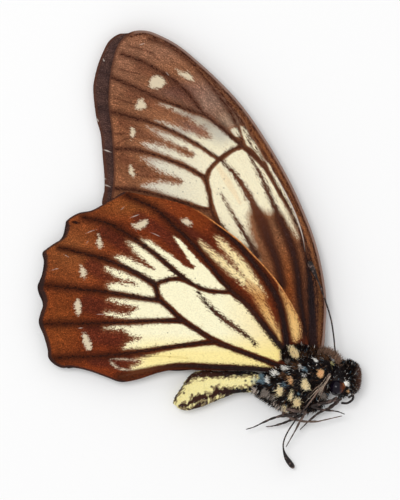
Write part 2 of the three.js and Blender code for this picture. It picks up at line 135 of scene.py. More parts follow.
HINDWING_VEINS = [
    (3.2, 1.2, [(285, 350), (275, 339), (265, 326), (255, 313), (245, 302), (235, 293.5), (225, 283),
                (215, 270), (205, 257), (190, 240), (175, 226), (160, 211.5), (150, 205.5), (128, 195.5)]),
    (3.4, 2.6, [(286, 350), (287, 340), (284, 320), (279, 301), (270, 284), (260, 270), (250, 257),
                (240, 245), (230, 235), (218, 225)]),
    (1.1, 1.7, [(230, 291), (220, 292), (205, 289), (195, 284.5), (185, 278.5)]),
    (2.4, 1.0, [(185, 278.5), (175, 270.5), (160, 257), (150, 249.5), (130, 235.5), (110, 224), (84, 217)]),
    (1.2, 1.6, [(184, 279), (172, 278.5), (160, 282), (156, 284)]),
    (2.6, 0.9, [(156, 284), (148, 279), (135, 272), (120, 264.5), (100, 257.5), (80, 252), (60, 247.5)]),
    (1.8, 1.8, [(156, 284), (157, 289), (158, 294), (160, 300)]),
    (2.0, 0.9, [(159, 300), (140, 297.5), (120, 294), (100, 291), (80, 289), (60, 286.5), (40, 284.5)]),
    (1.8, 2.3, [(160, 300), (165, 303.5), (175, 313), (185, 321.5), (200, 331), (215, 340.5), (230, 347),
                (250, 354.5), (270, 362), (284, 367)]),
    (1.9, 0.8, [(184, 321), (178, 320.5), (160, 320.5), (140, 321), (120, 322.5), (80, 323.5), (41, 324)]),
    (1.9, 0.9, [(213, 342), (200, 343), (180, 345.5), (160, 348.5), (140, 351.5), (120, 354), (90, 356.5),
                (55, 358)]),
    (3.6, 1.6, [(280, 371), (260, 369.5), (240, 368), (220, 367), (205, 366.3), (190, 365.5), (180, 365.5),
                (170, 366.5), (160, 368), (140, 372), (120, 377)]),
]
HINDWING_CELL_STREAK = ((0.6, 1.4, 2.2, 2.3, 2.0, 1.4, 0.7), [
    (199, 292), (204, 299), (211, 307), (220, 315), (230, 323), (240, 330), (250, 338), (258, 345.5)])

# Pale panels of the wings, each bounded by its veins and by the brown wedge between its two prongs
FOREWING_PANELS = [
    [(160, 103), (170, 104.5), (180, 108.5), (192, 112.5), (204, 117), (214, 123), (224, 131), (232, 138),
     (239, 144.5), (236, 147), (228, 151), (219, 157), (212, 153), (200, 144), (185, 136), (170, 129),
     (156, 121), (166, 122), (180, 127), (195, 134), (206, 139), (213, 139), (210, 133), (203, 127),
     (192, 120.5), (180, 113.5), (169, 107.5)],
    [(147, 126.5), (158, 129), (170, 133.5), (182, 139), (195, 146), (208, 153.5), (216, 160), (209, 168),
     (205, 174.5), (194, 167.5), (180, 160.5), (165, 154.5), (155, 150.5), (147, 147), (143, 142.5),
     (152, 143), (163, 145), (174, 149), (184, 154.5), (193, 157.5), (196, 154.5), (188, 149),
     (176, 144.5), (165, 138.5), (155, 132.5)],
    [(142, 157.5), (153, 157.5), (165, 160.5), (178, 165.5), (190, 171.5), (201, 178), (206, 186),
     (209, 197), (210.5, 207), (204, 207), (192, 202.5), (178, 198.5), (164, 194.5), (152, 190.5),
     (142, 186), (150, 183), (160, 181), (170, 182.5), (180, 184), (184, 181), (177, 177.5),
     (167, 174.5), (158, 170), (149, 163.5)],
    [(221, 161), (230, 156), (237, 151), (243, 149), (250, 154), (257, 161), (264, 169), (271, 181),
     (277, 191), (284, 203), (289, 213), (294, 226), (300, 242), (290, 262), (272, 264), (256, 254), (249, 248), (240, 242), (230, 236), (222, 228), (218, 214), (214, 203),
     (212, 190), (210, 179), (212, 171), (217, 165)],
    [(231, 130), (238, 127), (240.5, 131), (242, 139), (236, 136)],
    [(241, 126), (246, 127), (252, 137), (258, 147), (266, 161), (262, 161), (255, 151), (248, 145), (244, 138)],
    [(266, 160), (269, 161), (280, 180), (292, 203), (301, 226), (299, 228), (288, 203), (277, 184)],
]
FOREWING_PALE_LIMIT = [
    (258, 256), (253, 242), (249, 228), (248, 215), (253, 208), (262, 210), (269, 212), (277, 211), (284, 215),
    (291, 226), (299, 236), (360, 250), (360, 0), (0, 0), (0, 300), (258, 300)]
HINDWING_PANELS = [
    [(174, 236), (180, 239), (190, 250), (200, 261), (210, 271), (220, 282), (228, 290), (210, 289),
     (200, 286), (188, 279), (176, 268), (165, 259), (150, 247), (142, 240), (150, 241), (160, 248),
     (170, 254), (180, 262), (188, 268), (195, 269), (196, 266), (190, 261), (186, 254), (181, 247)],
    [(129, 242), (136, 243.5), (146, 249), (155, 257), (165, 265), (179, 276), (168, 278), (157, 282),
     (150, 279), (135, 270.5), (122, 263), (116, 257.5), (122, 256.5), (132, 260), (142, 265),
     (150, 269.5), (156, 269), (150, 263.5), (143, 258), (136, 251)],
    [(106, 268), (114, 269), (125, 273), (138, 278), (147, 283), (153, 288), (156, 294), (155, 298),
     (145, 297), (130, 293.5), (118, 291), (110, 289), (109, 284.5), (118, 283.5), (128, 283.5),
     (136, 285), (139, 284), (130, 280.5), (120, 277.5), (112, 273)],
    [(109, 299.5), (120, 299), (135, 300), (150, 301.5), (161, 304), (168, 309), (176, 317.5),
     (160, 318.8), (145, 319), (128, 318.5), (118, 316.5), (107, 313.5), (107, 312.8), (118, 314.2),
     (128, 315), (132, 312), (139, 309), (138, 307), (128, 304.5), (118, 302.5)],
    [(106, 327.5), (118, 325.7), (130, 325.7), (145, 324.5), (160, 323.2), (182, 323.5), (192, 329),
     (207, 339), (190, 342.5), (170, 345), (150, 348), (135, 349), (125, 348), (129, 343), (137, 340.5),
     (142, 338), (134, 336), (129, 333), (124, 329), (112, 328.3)],
    [(138, 359.5), (148, 357), (160, 352.5), (175, 349.5), (200, 346.3), (215, 345.5), (225, 348),
     (245, 355), (265, 362.5), (276, 368.5), (262, 367.5), (240, 365.5), (215, 364), (190, 362.7),
     (175, 363.5), (160, 366), (145, 368.5), (133, 369.5), (133, 367.5), (140, 364.5), (143, 362)],
    [(222, 294), (231, 295), (243, 302.5), (250, 310), (258, 319), (265, 328), (272, 336.5), (279, 344),
     (284, 350), (282, 358), (278, 361.5), (270, 358), (260, 354.5), (250, 351), (230, 343.5),
     (212, 335), (203, 329.5), (195, 324), (187, 318.5), (180, 313), (173, 306.5), (167, 301),
     (161, 294), (160, 287), (162, 284), (170, 281.5), (180, 281), (190, 285), (200, 290.5), (210, 293)],
]
HINDWING_DUSTED_PANELS = [
    [(200, 240), (207, 245.5), (215, 252), (225, 259), (233, 265.5), (241, 273), (250, 282), (258, 292), (263, 301),
     (252, 293), (244, 285), (236, 278), (228, 272), (220, 264), (212, 256), (205, 250)],
    [(216, 236), (224, 240), (232, 248), (242, 257), (250, 267), (257, 278), (262, 287), (267, 298),
     (262, 301), (254, 289), (247, 280), (241, 273), (235.2, 262.8), (228.8, 255.2), (220.8, 246.2)],
]
HINDWING_TAN_PANELS = [
    [(248, 279), (258, 287), (266, 296), (273, 308), (279, 322), (283, 336), (284, 348), (278, 342), (270, 330),
     (262, 317), (254, 302), (247, 289)],
    [(279, 286), (285, 292), (292, 302), (298, 314), (301, 326), (301, 337), (297, 342), (293, 338),
     (290, 326), (287, 312), (283, 298)],
]

# Round pale spots near the outer margins
FOREWING_SPOTS = [
    [(150, 80), (153, 76), (158, 74.5), (163, 76.5), (166, 80), (166, 84), (163, 87.5), (157, 89),
     (152, 88.5), (149, 85)],
    [(176, 68), (183, 71.5), (188, 71), (193, 76), (195.5, 81), (190, 80.5), (184, 78), (180, 75)],
    [(139, 99), (143, 98), (146, 103), (148, 107.5), (142, 110), (136, 109.5), (135, 106.5)],
    [(131, 127), (135, 128), (137, 133), (134.5, 137), (132, 140), (130.5, 134)],
    [(131, 164), (134, 168), (136, 174), (133.5, 178), (129.5, 173), (129, 168)],
]
HINDWING_SPOTS = [
    [(181, 219), (186, 218), (190, 219), (193, 223), (192, 227), (187, 225), (183, 222.5)],
    [(131, 224), (138, 223), (143, 220), (148, 218.5), (149.5, 223), (146, 227.5), (140, 230), (135, 228.5)],
    [(98.5, 233), (101, 236), (103.5, 243), (103.5, 248), (100, 248.5), (96.5, 244), (98, 239)],
    [(81, 264), (84, 267), (87, 270), (88, 275), (84.5, 279), (81, 276), (80, 270)],
    [(77, 298.5), (80.5, 300), (82.5, 305), (82, 312), (79, 316), (75.5, 312), (74.5, 304)],
    [(83, 332), (87, 333), (91, 340), (93, 346), (91.5, 351), (87, 350), (84, 344), (82.5, 337)],
    [(110, 360), (112.5, 361), (116, 365), (121, 368), (128, 369), (134, 368.5), (133, 370.3), (125, 370.8),
     (117, 368.5), (112, 364.5)],
    [(111, 359), (120, 358.3), (131, 358.7), (140, 359.6), (140, 361), (130, 360.4), (120, 359.8)],
]

# Dark brown between the pale prongs and the outer spots: half width and reach of the fade, then the line
FOREWING_DARK_WEDGES = [
    (2.0, 6.0, [(130, 93), (160, 105), (185, 115), (210, 135)]), (2.0, 6.0, [(122, 122), (150, 136), (180, 147), (193, 153)]),
    (2.0, 6.0, [(124, 158), (150, 172), (182, 181)]), (2.0, 6.5, [(140, 66), (170, 84), (195, 104)]),
]
HINDWING_DARK_WEDGES = [
    (3.0, 7.0, [(140, 218), (165, 234), (182, 250), (196, 268)]), (3.0, 8.0, [(104, 232), (126, 246), (150, 266)]),
    (4.0, 8.0, [(92, 266), (115, 277), (138, 284)]), (5.0, 8.0, [(88, 304), (112, 309), (138, 308)]),
    (6.0, 9.0, [(92, 332), (115, 337), (138, 338)]), (3.0, 6.0, [(95, 360), (120, 363), (136, 364)]),
    (2.0, 7.0, [(165, 216), (195, 236), (225, 262), (240, 280)]),
]

# Where the forewing's pale prongs are dusted with brown: centre, reach and tone
FOREWING_DUSTY_PRONGS = [
    ((190, 116), (28, 8), (0.30, 0.24, 0.20)), ((208, 126), (13, 8), (0.33, 0.27, 0.22)),
    ((222, 134), (15, 11), (0.50, 0.47, 0.40)), ((182, 131), (22, 5), (0.46, 0.41, 0.35)),
    ((150, 131), (12, 5), (0.38, 0.31, 0.25)), ((148, 160), (10, 4), (0.5, 0.44, 0.36)),
]

# Thin fold lines between the veins, and pale scratches where scales are rubbed off; the hindwing's strokes along its
# veins near y 314 and 328 are painted highlights
FOREWING_FOLDS = [
    [(110, 133.5), (130, 133.5)], [(113, 147), (120, 142), (133, 137), (150, 139), (165, 143)],
    [(128, 173), (140, 175), (160, 178), (172, 179)], [(120, 69), (140, 74)], [(115, 98), (135, 104)],
    [(128, 45), (150, 52), (160, 60)], [(217, 163), (228, 180), (238, 200)],
]
HINDWING_SCRATCHES = [
    [(50, 271), (56, 269), (62, 268)], [(85, 234), (92, 231), (98, 229)], [(121, 210), (126, 206)],
    [(130, 218), (141, 214)], [(148, 231), (156, 234), (163, 238)], [(78, 328), (85, 328)], [(96, 314), (112, 315)],
    [(64, 254), (71, 258)], [(180, 246), (184, 250)], [(86, 245), (90, 239)],
]
FOREWING_SCRATCHES = [
    [(166, 71), (170, 76)], [(139, 45), (146, 43)], [(222, 150), (226, 153)], [(245, 196), (248, 199)],
]
LEFT_FOREWING_SCRATCHES = [
    [(102, 149.5), (107, 150.5), (112, 152.5)], [(103, 178), (107, 179)], [(102, 184), (106, 185), (111, 187)],
    [(103, 192), (105, 192)], [(97, 118), (99, 122)], [(103, 58), (105, 62)],
]

# Body sections: back and belly edge in the picture, half width and middle height in millimetres
ABDOMEN_SECTIONS = [
    ((268, 381), (268, 381), 0, 2.9), ((255, 372), (255, 391), 1.6, 2.85), ((235, 371.5), (236, 393), 1.8, 2.6),
    ((215, 371.5), (219, 399.5), 1.9, 2.45), ((200, 371.5), (207, 404.5), 1.9, 2.35),
    ((190, 375.5), (197, 408), 1.8, 2.3), ((183, 385.5), (188, 410), 1.5, 2.2),
    ((176.5, 395.5), (180, 408.5), 0.9, 2.1), ((173.5, 403), (173.5, 403), 0, 2.1),
]
THORAX_SECTIONS = [
    ((256, 385), (256, 385), 0, 3.0), ((261, 377), (261, 396), 1.9, 3.05), ((271, 373), (272, 402), 2.8, 3.1),
    ((285, 365), (288, 409), 3.3, 3.1), ((301, 355), (304, 411), 3.4, 3.1), ((317, 350.5), (318, 408), 3.2, 3.1),
    ((329, 355), (325, 398), 2.3, 3.1), ((332, 376), (332, 376), 0, 3.1),
]
HEAD_SECTIONS = [
    ((327, 380), (327, 380), 0, 3.1), ((331, 367), (331, 393), 1.5, 3.1), ((338, 362), (339, 396), 1.8, 3.1),
    ((346, 363), (347, 394), 1.6, 3.1), ((352, 378), (352, 378), 0, 3.1),
]
PALP_SECTIONS = [
    ((350, 393), (350, 393), 0, 0), ((351.5, 387), (356, 388.5), 0.6, 0), ((352, 377), (358, 377.5), 0.75, 0),
    ((350.5, 369), (355.5, 366.5), 0.65, 0), ((346, 361.5), (346, 361.5), 0, 0),
]

# Legs: femur, tibia and tarsus as picture places with a height in millimetres
LEGS = {
    "right_foreleg": (
        [(337, 398.2, 4.4), (329, 401.5, 5.0), (311, 405.5, 5.6)],
        [(311, 405.5, 5.6), (320, 409, 5.4), (332, 410.5, 4.9)],
        [(332, 410.5, 4.9), (338, 411.5, 4.6), (344.5, 414, 4.2)]),
    "left_foreleg": (
        [(340.5, 398, 2.5), (336, 403, 2.3), (329, 408.5, 2.2)],
        [(329, 408.5, 2.2), (319, 413, 2.1), (309, 421, 1.9)],
        [(309, 421, 1.9), (304, 426, 1.8), (300, 430, 1.6)]),
    "right_midleg": (
        [(287, 408.5, 4.9), (296, 410.5, 4.9), (306, 411.5, 4.8)],
        [(306, 411.5, 4.8), (300, 421, 4.3), (296, 429, 3.9)],
        [(296, 429, 3.9), (291, 438, 3.3), (286, 447, 2.6)]),
    "left_midleg": (
        [(283, 412.5, 3.05), (287, 415, 3.05), (294, 419.5, 3.05)],
        [(294, 419.5, 3.05), (305, 421.5, 3.0), (318, 421.5, 2.9)],
        [(318, 421.5, 2.9), (331, 418.5, 2.7), (342, 416, 2.5)]),
    "right_hindleg": (
        [(296, 414, 4.0), (288, 415, 3.9), (280, 416, 3.8)],
        [(280, 416, 3.8), (272, 418.5, 3.5), (262, 423, 3.1)],
        [(262, 423, 3.1), (254, 427, 2.6), (246, 429.5, 2.2)]),
    "left_hindleg": (
        [(302, 415, 2.4), (297, 417, 2.3), (291, 420, 2.2)],
        [(291, 420, 2.2), (284, 423, 2.0), (276, 425.5, 1.8)],
        [(276, 425.5, 1.8), (271, 426.5, 1.6), (266, 427, 1.4)]),
}
ANTENNAE = {
    "upper_antenna": [
        (337.5, 359, 3.9), (335, 350, 4.2), (333.5, 336, 4.3), (331, 320, 4.4), (326, 303, 4.5),
        (320, 286, 4.5), (313.5, 271, 4.4), (308.5, 261, 4.3)],
    "lower_antenna": [
        (330, 373.5, 5.3), (324, 383, 5.9), (317.5, 391, 6.4), (307, 405, 6.2), (296, 419, 5.2),
        (287, 433, 4.0), (283.2, 445, 3.0), (286, 457, 2.1), (294, 468.5, 1.3)],
}
PROBOSCIS_PATH = [
    (348.5, 397.5, 3.1), (352.8, 395.5, 3.1), (352.5, 399.5, 3.1), (347.5, 403, 3.1), (341.5, 403, 3.1)]

# Pale and brown patches of hair on the body: centre, half sizes and lean in the picture, then the tone
CREAM = (1.0, 0.85, 0.53)
WHITE = (1.0, 0.98, 0.93)
ORANGE = (0.95, 0.60, 0.30)
DUSTY = (0.34, 0.29, 0.25)
BROWN = (0.12, 0.055, 0.025)
BLUE = (0.22, 0.33, 0.40)
# Tones of single dark hairs: pale frost, and painted highlights in brown, blue and white
FROST_AND_GLINT_TONES = np.array([(0.95, 0.92, 0.86), (0.36, 0.27, 0.21), (0.16, 0.24, 0.30), (0.20, 0.09, 0.04), (0.10, 0.05, 0.03),
                  (0.14, 0.07, 0.03)])
THORAX_PATCHES = [
    ((286, 368), (3.8, 2.0), 0.3, WHITE), ((275.5, 372.5), (3.8, 3.2), 0.3, WHITE), ((316, 360), (2.4, 1.4), -0.4, WHITE),
    ((333.5, 363.5), (3.4, 2.4), 0.0, (0.55, 0.50, 0.24)), ((320.5, 373), (3.2, 4.6), -0.5, ORANGE),
    ((305.5, 384), (4.0, 6.0), 0.3, CREAM), ((291, 380), (2.0, 4.6), 0.2, ORANGE), ((280, 390), (3.6, 4.8), -0.2, CREAM),
    ((291.5, 394), (1.9, 5.6), -0.1, CREAM), ((297.5, 402), (3.8, 5.0), 0.0, CREAM), ((286, 408), (3.0, 4.2), 0.4, CREAM),
    ((304, 375), (1.3, 1.3), 0.0, WHITE), ((301.5, 367), (1.1, 4.4), 0.6, WHITE), ((323, 394), (3.6, 5.4), 0.5, DUSTY),
    ((268, 380), (2.4, 3.4), 0.0, WHITE), ((266, 392), (4.2, 4.6), 0.6, DUSTY), ((273, 396), (3.0, 3.6), 0.3, DUSTY),
    ((327, 355), (11, 5.0), 0.1, BROWN), ((284, 375), (5.5, 3.4), 0.2, BROWN), ((262, 379), (5.0, 5.0), 0.0, BLUE),
    ((284, 384), (2.6, 2.4), 0.0, BLUE), ((305, 369), (2.4, 2.4), 0.0, BLUE), ((296, 365), (4.0, 4.0), 0.0, BROWN),
    ((299, 393), (2.0, 2.2), 0.0, BLUE),
]
HEAD_PATCHES = [
    ((346.4, 384), (1.9, 4.6), 0.7, WHITE), ((348.5, 391), (2.6, 2.0), 0.2, ORANGE), ((343.5, 386), (1.4, 3.0), 0.0, (0.30, 0.10, 0.03)),
]
PALP_RIM = (0.17, 0.08, 0.055)

# Mound of hair over the wings' roots: centre, half sizes and height of its middle, then its patches
ROOT_MOUND_CENTRE = (300, 356)
ROOT_MOUND_SIZE = (20, 10.5)
ROOT_MOUND_HEIGHT = 4.1 * MM
ROOT_MOUND_PATCHES = [
    ((294.5, 354), (3.9, 7.6), 0.6, CREAM), ((281, 357), (1.3, 4.6), 0.1, CREAM), ((288, 362), (3, 3), 0.0, DUSTY),
    ((303, 356), (3.4, 3.4), 0.0, BROWN), ((312, 352), (3.0, 5.0), 0.0, BROWN),
]


def srgb(*channels):
    """Linear colour of screen values from 0 to 255, by the usual gamma curve with its short straight foot."""
    c = np.array(channels, float) / 255.0
    return tuple(np.where(c <= 0.04045, c / 12.92, ((c + 0.055) / 1.055) ** 2.4))


# Pale cuticle tone: painted sheen along some legs, and the paler base of the lower antenna
PALE_CUTICLE = srgb(132, 108, 94)
LEG_SHEEN = {"left_midleg": 0.55, "right_midleg": 0.3, "left_foreleg": 0.15}


def on_floor_plan(places):
    """Metres in the frame from picture places: shift by the picture's centre, turn y up and scale."""
    places = np.asarray(places, float)
    return np.stack([(places[..., 0] - PICTURE_CENTRE[0]) * SCALE,
                     (PICTURE_CENTRE[1] - places[..., 1]) * SCALE], axis=-1)


def in_space(points):
    """Metres in the frame from picture places with a height in millimetres."""
    points = np.asarray(points, float)
    return np.concatenate([on_floor_plan(points[..., :2]), points[..., 2:3] * MM], axis=-1)


def curve_at(points, share):
    """Catmull-Rom curve: the cubic of each span whose slope at a point is half the step between its neighbours."""
    p = np.asarray(points, float)
    padded = np.vstack([2 * p[0] - p[1], p, 2 * p[-1] - p[-2]])
    t = np.asarray(share, float) * (len(p) - 1)
    i = np.clip(t.astype(int), 0, len(p) - 2)
    f = (t - i)[:, None]
    a, b, c, d = padded[i], padded[i + 1], padded[i + 2], padded[i + 3]
    return 0.5 * (2 * b + (c - a) * f + (2 * a - 5 * b + 4 * c - d) * f ** 2 + (3 * b - a - 3 * c + d) * f ** 3)


def even_line(line, count):
    """The same line in count points at equal steps of its length."""
    lengths = np.r_[0, np.cumsum(np.linalg.norm(np.diff(line, axis=0), axis=1))]
    stations = np.linspace(0, lengths[-1], count)
    return np.stack([np.interp(stations, lengths, line[:, k]) for k in range(line.shape[1])], axis=1)


def smooth_line(points, count):
    """Equal steps along the Catmull-Rom curve through the points."""
    fine = curve_at(points, np.linspace(0, 1, 16 * len(points)))
    return even_line(fine, count)


def line_distance(places, line):
    """Distance from each place to a line of short straight steps, and how far along it the nearest point is."""
    start = line[:-1]
    step = np.diff(line, axis=0)
    reach = places[:, None, :] - start[None]
    share = np.clip((reach * step).sum(axis=2) / (step ** 2).sum(axis=1), 0, 1)
    gap = np.linalg.norm(reach - share[..., None] * step, axis=2)
    nearest = gap.argmin(axis=1)
    rows = np.arange(len(places))
    return gap[rows, nearest], (nearest + share[rows, nearest]) / len(step)


def stroke_depth(places, points, widths):
    """Depth inside a stroke: its half width at the nearest point of its line, less the distance to the line."""
    gap, along = line_distance(places, smooth_line(points, 6 * len(points)))
    return np.interp(along, np.linspace(0, 1, len(widths)), widths) - gap


def panel_depth(places, outline):
    """Signed distance to a closed outline, positive inside, where a ray to the right crosses it an odd number of times."""
    corners = np.asarray(outline, float)
    loop = np.vstack([corners, corners[:1]])
    gap, _ = line_distance(places, loop)
    x, y = places[:, :1], places[:, 1:]
    x0, y0, x1, y1 = loop[:-1, 0], loop[:-1, 1], loop[1:, 0], loop[1:, 1]
    spans = (y0 > y) != (y1 > y)
    rise = np.where(y1 == y0, 1, y1 - y0)
    crossings = (spans & (x < x0 + (y - y0) * (x1 - x0) / rise)).sum(axis=1)
    return np.where(crossings % 2 == 1, gap, -gap)


def deepest(depths):
    return np.max(np.stack(depths), axis=0)


def ripple(places, size, seed):
    """Smooth noise from -1 to 1: random values on a lattice, blended across each cell by an S curve."""
    lattice = np.random.default_rng(seed).uniform(-1, 1, (64, 64))
    scaled = places / size
    cell = np.floor(scaled).astype(int)
    f = scaled - cell
    f = f * f * (3 - 2 * f)
    i, j = cell[:, 0] % 64, cell[:, 1] % 64
    k, m = (i + 1) % 64, (j + 1) % 64
    low = lattice[i, j] * (1 - f[:, 0]) + lattice[k, j] * f[:, 0]
    high = lattice[i, m] * (1 - f[:, 0]) + lattice[k, m] * f[:, 0]
    return low * (1 - f[:, 1]) + high * f[:, 1]


def tinted(places, base, tints):
    """Ground colour: the base blended towards each tint by a bell curve around its place."""
    colour = np.tile(np.array(base, float), (len(places), 1))
    for centre, reach, tint, strength in tints:
        offset = (places - np.array(centre, float)) / np.array(reach, float)
        weight = strength * np.exp(-(offset ** 2).sum(axis=1))[:, None]
        colour = colour * (1 - weight) + np.array(tint) * weight
    return colour


# Meshes from grids

def add_mesh(name, vertices, faces, materials, smooth=True):
    """Mesh object from whole arrays: one array of points, and one array of corner numbers for each kind of face."""
    mesh = bpy.data.meshes.new(name)
    points = np.asarray(vertices, np.float32)
    mesh.vertices.add(len(points))
    mesh.vertices.foreach_set("co", points.ravel())
    corners = np.concatenate([np.asarray(group).ravel() for group in faces])
    sizes = np.concatenate([np.full(len(group), np.shape(group)[1]) for group in faces])
    mesh.loops.add(len(corners))
    mesh.loops.foreach_set("vertex_index", corners.astype(np.int32))
    mesh.polygons.add(len(sizes))
    mesh.polygons.foreach_set("loop_start", np.r_[0, np.cumsum(sizes)[:-1]].astype(np.int32))
    mesh.polygons.foreach_set("use_smooth", np.full(len(sizes), smooth))
    for material in materials:
        mesh.materials.append(material)
    mesh.update(calc_edges=True)
    piece = bpy.data.objects.new(name, mesh)
    bpy.context.scene.collection.objects.link(piece)
    return piece


def set_numbers(piece, name, values):
    attribute = piece.data.attributes.new(name, "FLOAT", "POINT")
    attribute.data.foreach_set("value", np.asarray(values, np.float32))


def set_colours(piece, name, values):
    rgba = np.ones((len(values), 4), np.float32)
    rgba[:, :3] = values
    attribute = piece.data.attributes.new(name, "FLOAT_COLOR", "POINT")
    attribute.data.foreach_set("color", rgba.ravel())


def set_flow(piece, rows, columns):
    """Places along and across the wing in metres, squeezed along it so that a pattern on them runs in streaks."""
    across, along = np.meshgrid(np.linspace(0, 1, rows), np.linspace(0, 1, columns), indexing="ij")
    flow = np.stack([along * FLOW_ALONG, across * FLOW_ACROSS, np.zeros_like(along)], axis=-1)
    attribute = piece.data.attributes.new("flow", "FLOAT_VECTOR", "POINT")
    attribute.data.foreach_set("vector", flow.astype(np.float32).ravel())


def sheet_faces(rows, columns):
    """Quads of an open grid whose outward side faces up on a wing that is laid out front edge first."""
    index = np.arange(rows * columns).reshape(rows, columns)
    return np.stack([index[:-1, :-1], index[:-1, 1:], index[1:, 1:], index[1:, :-1]], axis=-1).reshape(-1, 4)


def tube_faces(rings, sides, first=0):
    """Quads round a closed tube of rings, and one fan of triangles to the pole at each end."""
    index = first + np.arange(rings * sides).reshape(rings, sides)
    after = np.roll(index, -1, axis=1)
    quads = np.stack([index[:-1], after[:-1], after[1:], index[1:]], axis=-1).reshape(-1, 4)
    start = np.full(sides, first + rings * sides)
    fans = np.concatenate([np.stack([start, after[0], index[0]], axis=1),
                           np.stack([start + 1, index[-1], after[-1]], axis=1)])
    return [quads, fans]


def tube(path, radii, sides, squash=1.0):
    """Rings of the given radii around a path. Each ring's frame is carried along by removing from the
    last ring's side vector what points along the path, so the tube never twists."""
    path = np.asarray(path, float)
    along = np.gradient(path, axis=0)
    along /= np.linalg.norm(along, axis=1)[:, None]
    side = np.cross(along[0], (0.0, 0.3, 1.0))
    sideways = np.empty_like(path)
    for k, direction in enumerate(along):
        side = side - direction * side.dot(direction)
        side = side / np.linalg.norm(side)
        sideways[k] = side
    upwards = np.cross(along, sideways)
    turn = np.linspace(0, 2 * math.pi, sides, endpoint=False)
    radii = np.asarray(radii, float)[:, None, None]
    rings = (path[:, None, :] + radii * np.cos(turn)[None, :, None] * sideways[:, None, :]
             + radii * squash * np.sin(turn)[None, :, None] * upwards[:, None, :])
    ends = np.stack([path[0] - along[0] * radii[0, 0, 0] * 0.5, path[-1] + along[-1] * radii[-1, 0, 0] * 0.5])
    return np.vstack([rings.reshape(-1, 3), ends])


def formed_body(sections, rings, sides, offset=0.0):
    """Rounded body: ellipses whose height runs from the back line to the belly line and whose width
    follows its own curve, closed to a point at both ends. Returns points, share along and turn."""
    share = np.linspace(0, 1, rings + 2)[1:-1]
    share = 0.5 - 0.5 * np.cos(share * math.pi) * (1 - 0.25 * np.sin(share * math.pi))
    backs = in_space([(*s[0], s[3]) for s in sections])
    bellies = in_space([(*s[1], s[3]) for s in sections])
    widths = np.array([[s[2] * MM] for s in sections])
    back, belly = curve_at(backs, share), curve_at(bellies, share)
    width = np.maximum(curve_at(widths, share), 0.02 * MM)
    turn = np.linspace(0, 2 * math.pi, sides, endpoint=False)
    middle, half = (back + belly) / 2, (back - belly) / 2
    body = middle[:, None, :] + half[:, None, :] * np.cos(turn)[None, :, None]
    body[..., 2] += width * np.sin(turn)[None, :] + offset
    poles = np.stack([backs[0], backs[-1]])
    poles[:, 2] += offset
    return np.vstack([body.reshape(-1, 3), poles]), share, turn


# Materials

class Shader:
    """Short ways to add and join the nodes of one material."""

    def __init__(self, name, roughness=0.6, specular=0.3):
        self.material = bpy.data.materials.new(name)
        self.material.use_nodes = True
        self.tree = self.material.node_tree
        self.surface = self.tree.nodes["Principled BSDF"]
        self.surface.inputs["Roughness"].default_value = roughness
        self.surface.inputs["Specular IOR Level"].default_value = specular
        self.place = self.tree.nodes.new("ShaderNodeTexCoord").outputs["Object"]

    def put(self, socket, value):
        if isinstance(value, bpy.types.NodeSocket):
            self.tree.links.new(value, socket)
        elif isinstance(value, tuple) and len(value) == 3 and socket.type == "RGBA":
            socket.default_value = (*value, 1)
        else:
            socket.default_value = value

    def attribute(self, name, output):
        node = self.tree.nodes.new("ShaderNodeAttribute")
        node.attribute_name = name
        return node.outputs[output]

    def noise(self, size, detail=2.0, roughness=0.5, where=None):
        node = self.tree.nodes.new("ShaderNodeTexNoise")
        self.tree.links.new(where or self.place, node.inputs["Vector"])
        node.inputs["Scale"].default_value = 1 / size
        node.inputs["Detail"].default_value = detail
        node.inputs["Roughness"].default_value = roughness
        return node.outputs["Fac"]

    def dots(self, spacing, radius):
        """One round dot in each cell of a random cell pattern."""
        node = self.tree.nodes.new("ShaderNodeTexVoronoi")
        self.tree.links.new(self.place, node.inputs["Vector"])
        node.inputs["Scale"].default_value = 1 / spacing
        return self.ramp(node.outputs["Distance"], 0.6 * radius / spacing, radius / spacing, 1.0, 0.0)

    def maths(self, operation, first, second=0.5, third=0.5):
        node = self.tree.nodes.new("ShaderNodeMath")
        node.operation = operation
        for socket, value in zip(node.inputs, (first, second, third)):
            self.put(socket, value)
        return node.outputs[0]

    def ramp(self, value, low, high, low_result=0.0, high_result=1.0):
        node = self.tree.nodes.new("ShaderNodeMapRange")
        node.interpolation_type = "SMOOTHSTEP"
        for name, entry in (("Value", value), ("From Min", low), ("From Max", high),
                            ("To Min", low_result), ("To Max", high_result)):
            self.put(node.inputs[name], entry)
        return node.outputs[0]

    def mix(self, factor, first, second, blend="MIX"):
        node = self.tree.nodes.new("ShaderNodeMix")
        node.data_type = "RGBA"
        node.blend_type = blend
        self.put(node.inputs["Factor"], factor)
        self.put(node.inputs["A"], first)
        self.put(node.inputs["B"], second)
        return node.outputs["Result"]

    def bump(self, height, strength, distance):
        node = self.tree.nodes.new("ShaderNodeBump")
        node.inputs["Strength"].default_value = strength
        node.inputs["Distance"].default_value = distance
        self.tree.links.new(height, node.inputs["Height"])
        self.tree.links.new(node.outputs["Normal"], self.surface.inputs["Normal"])

    def finish(self, colour):
        self.put(self.surface.inputs["Base Color"], colour)
        return self.material


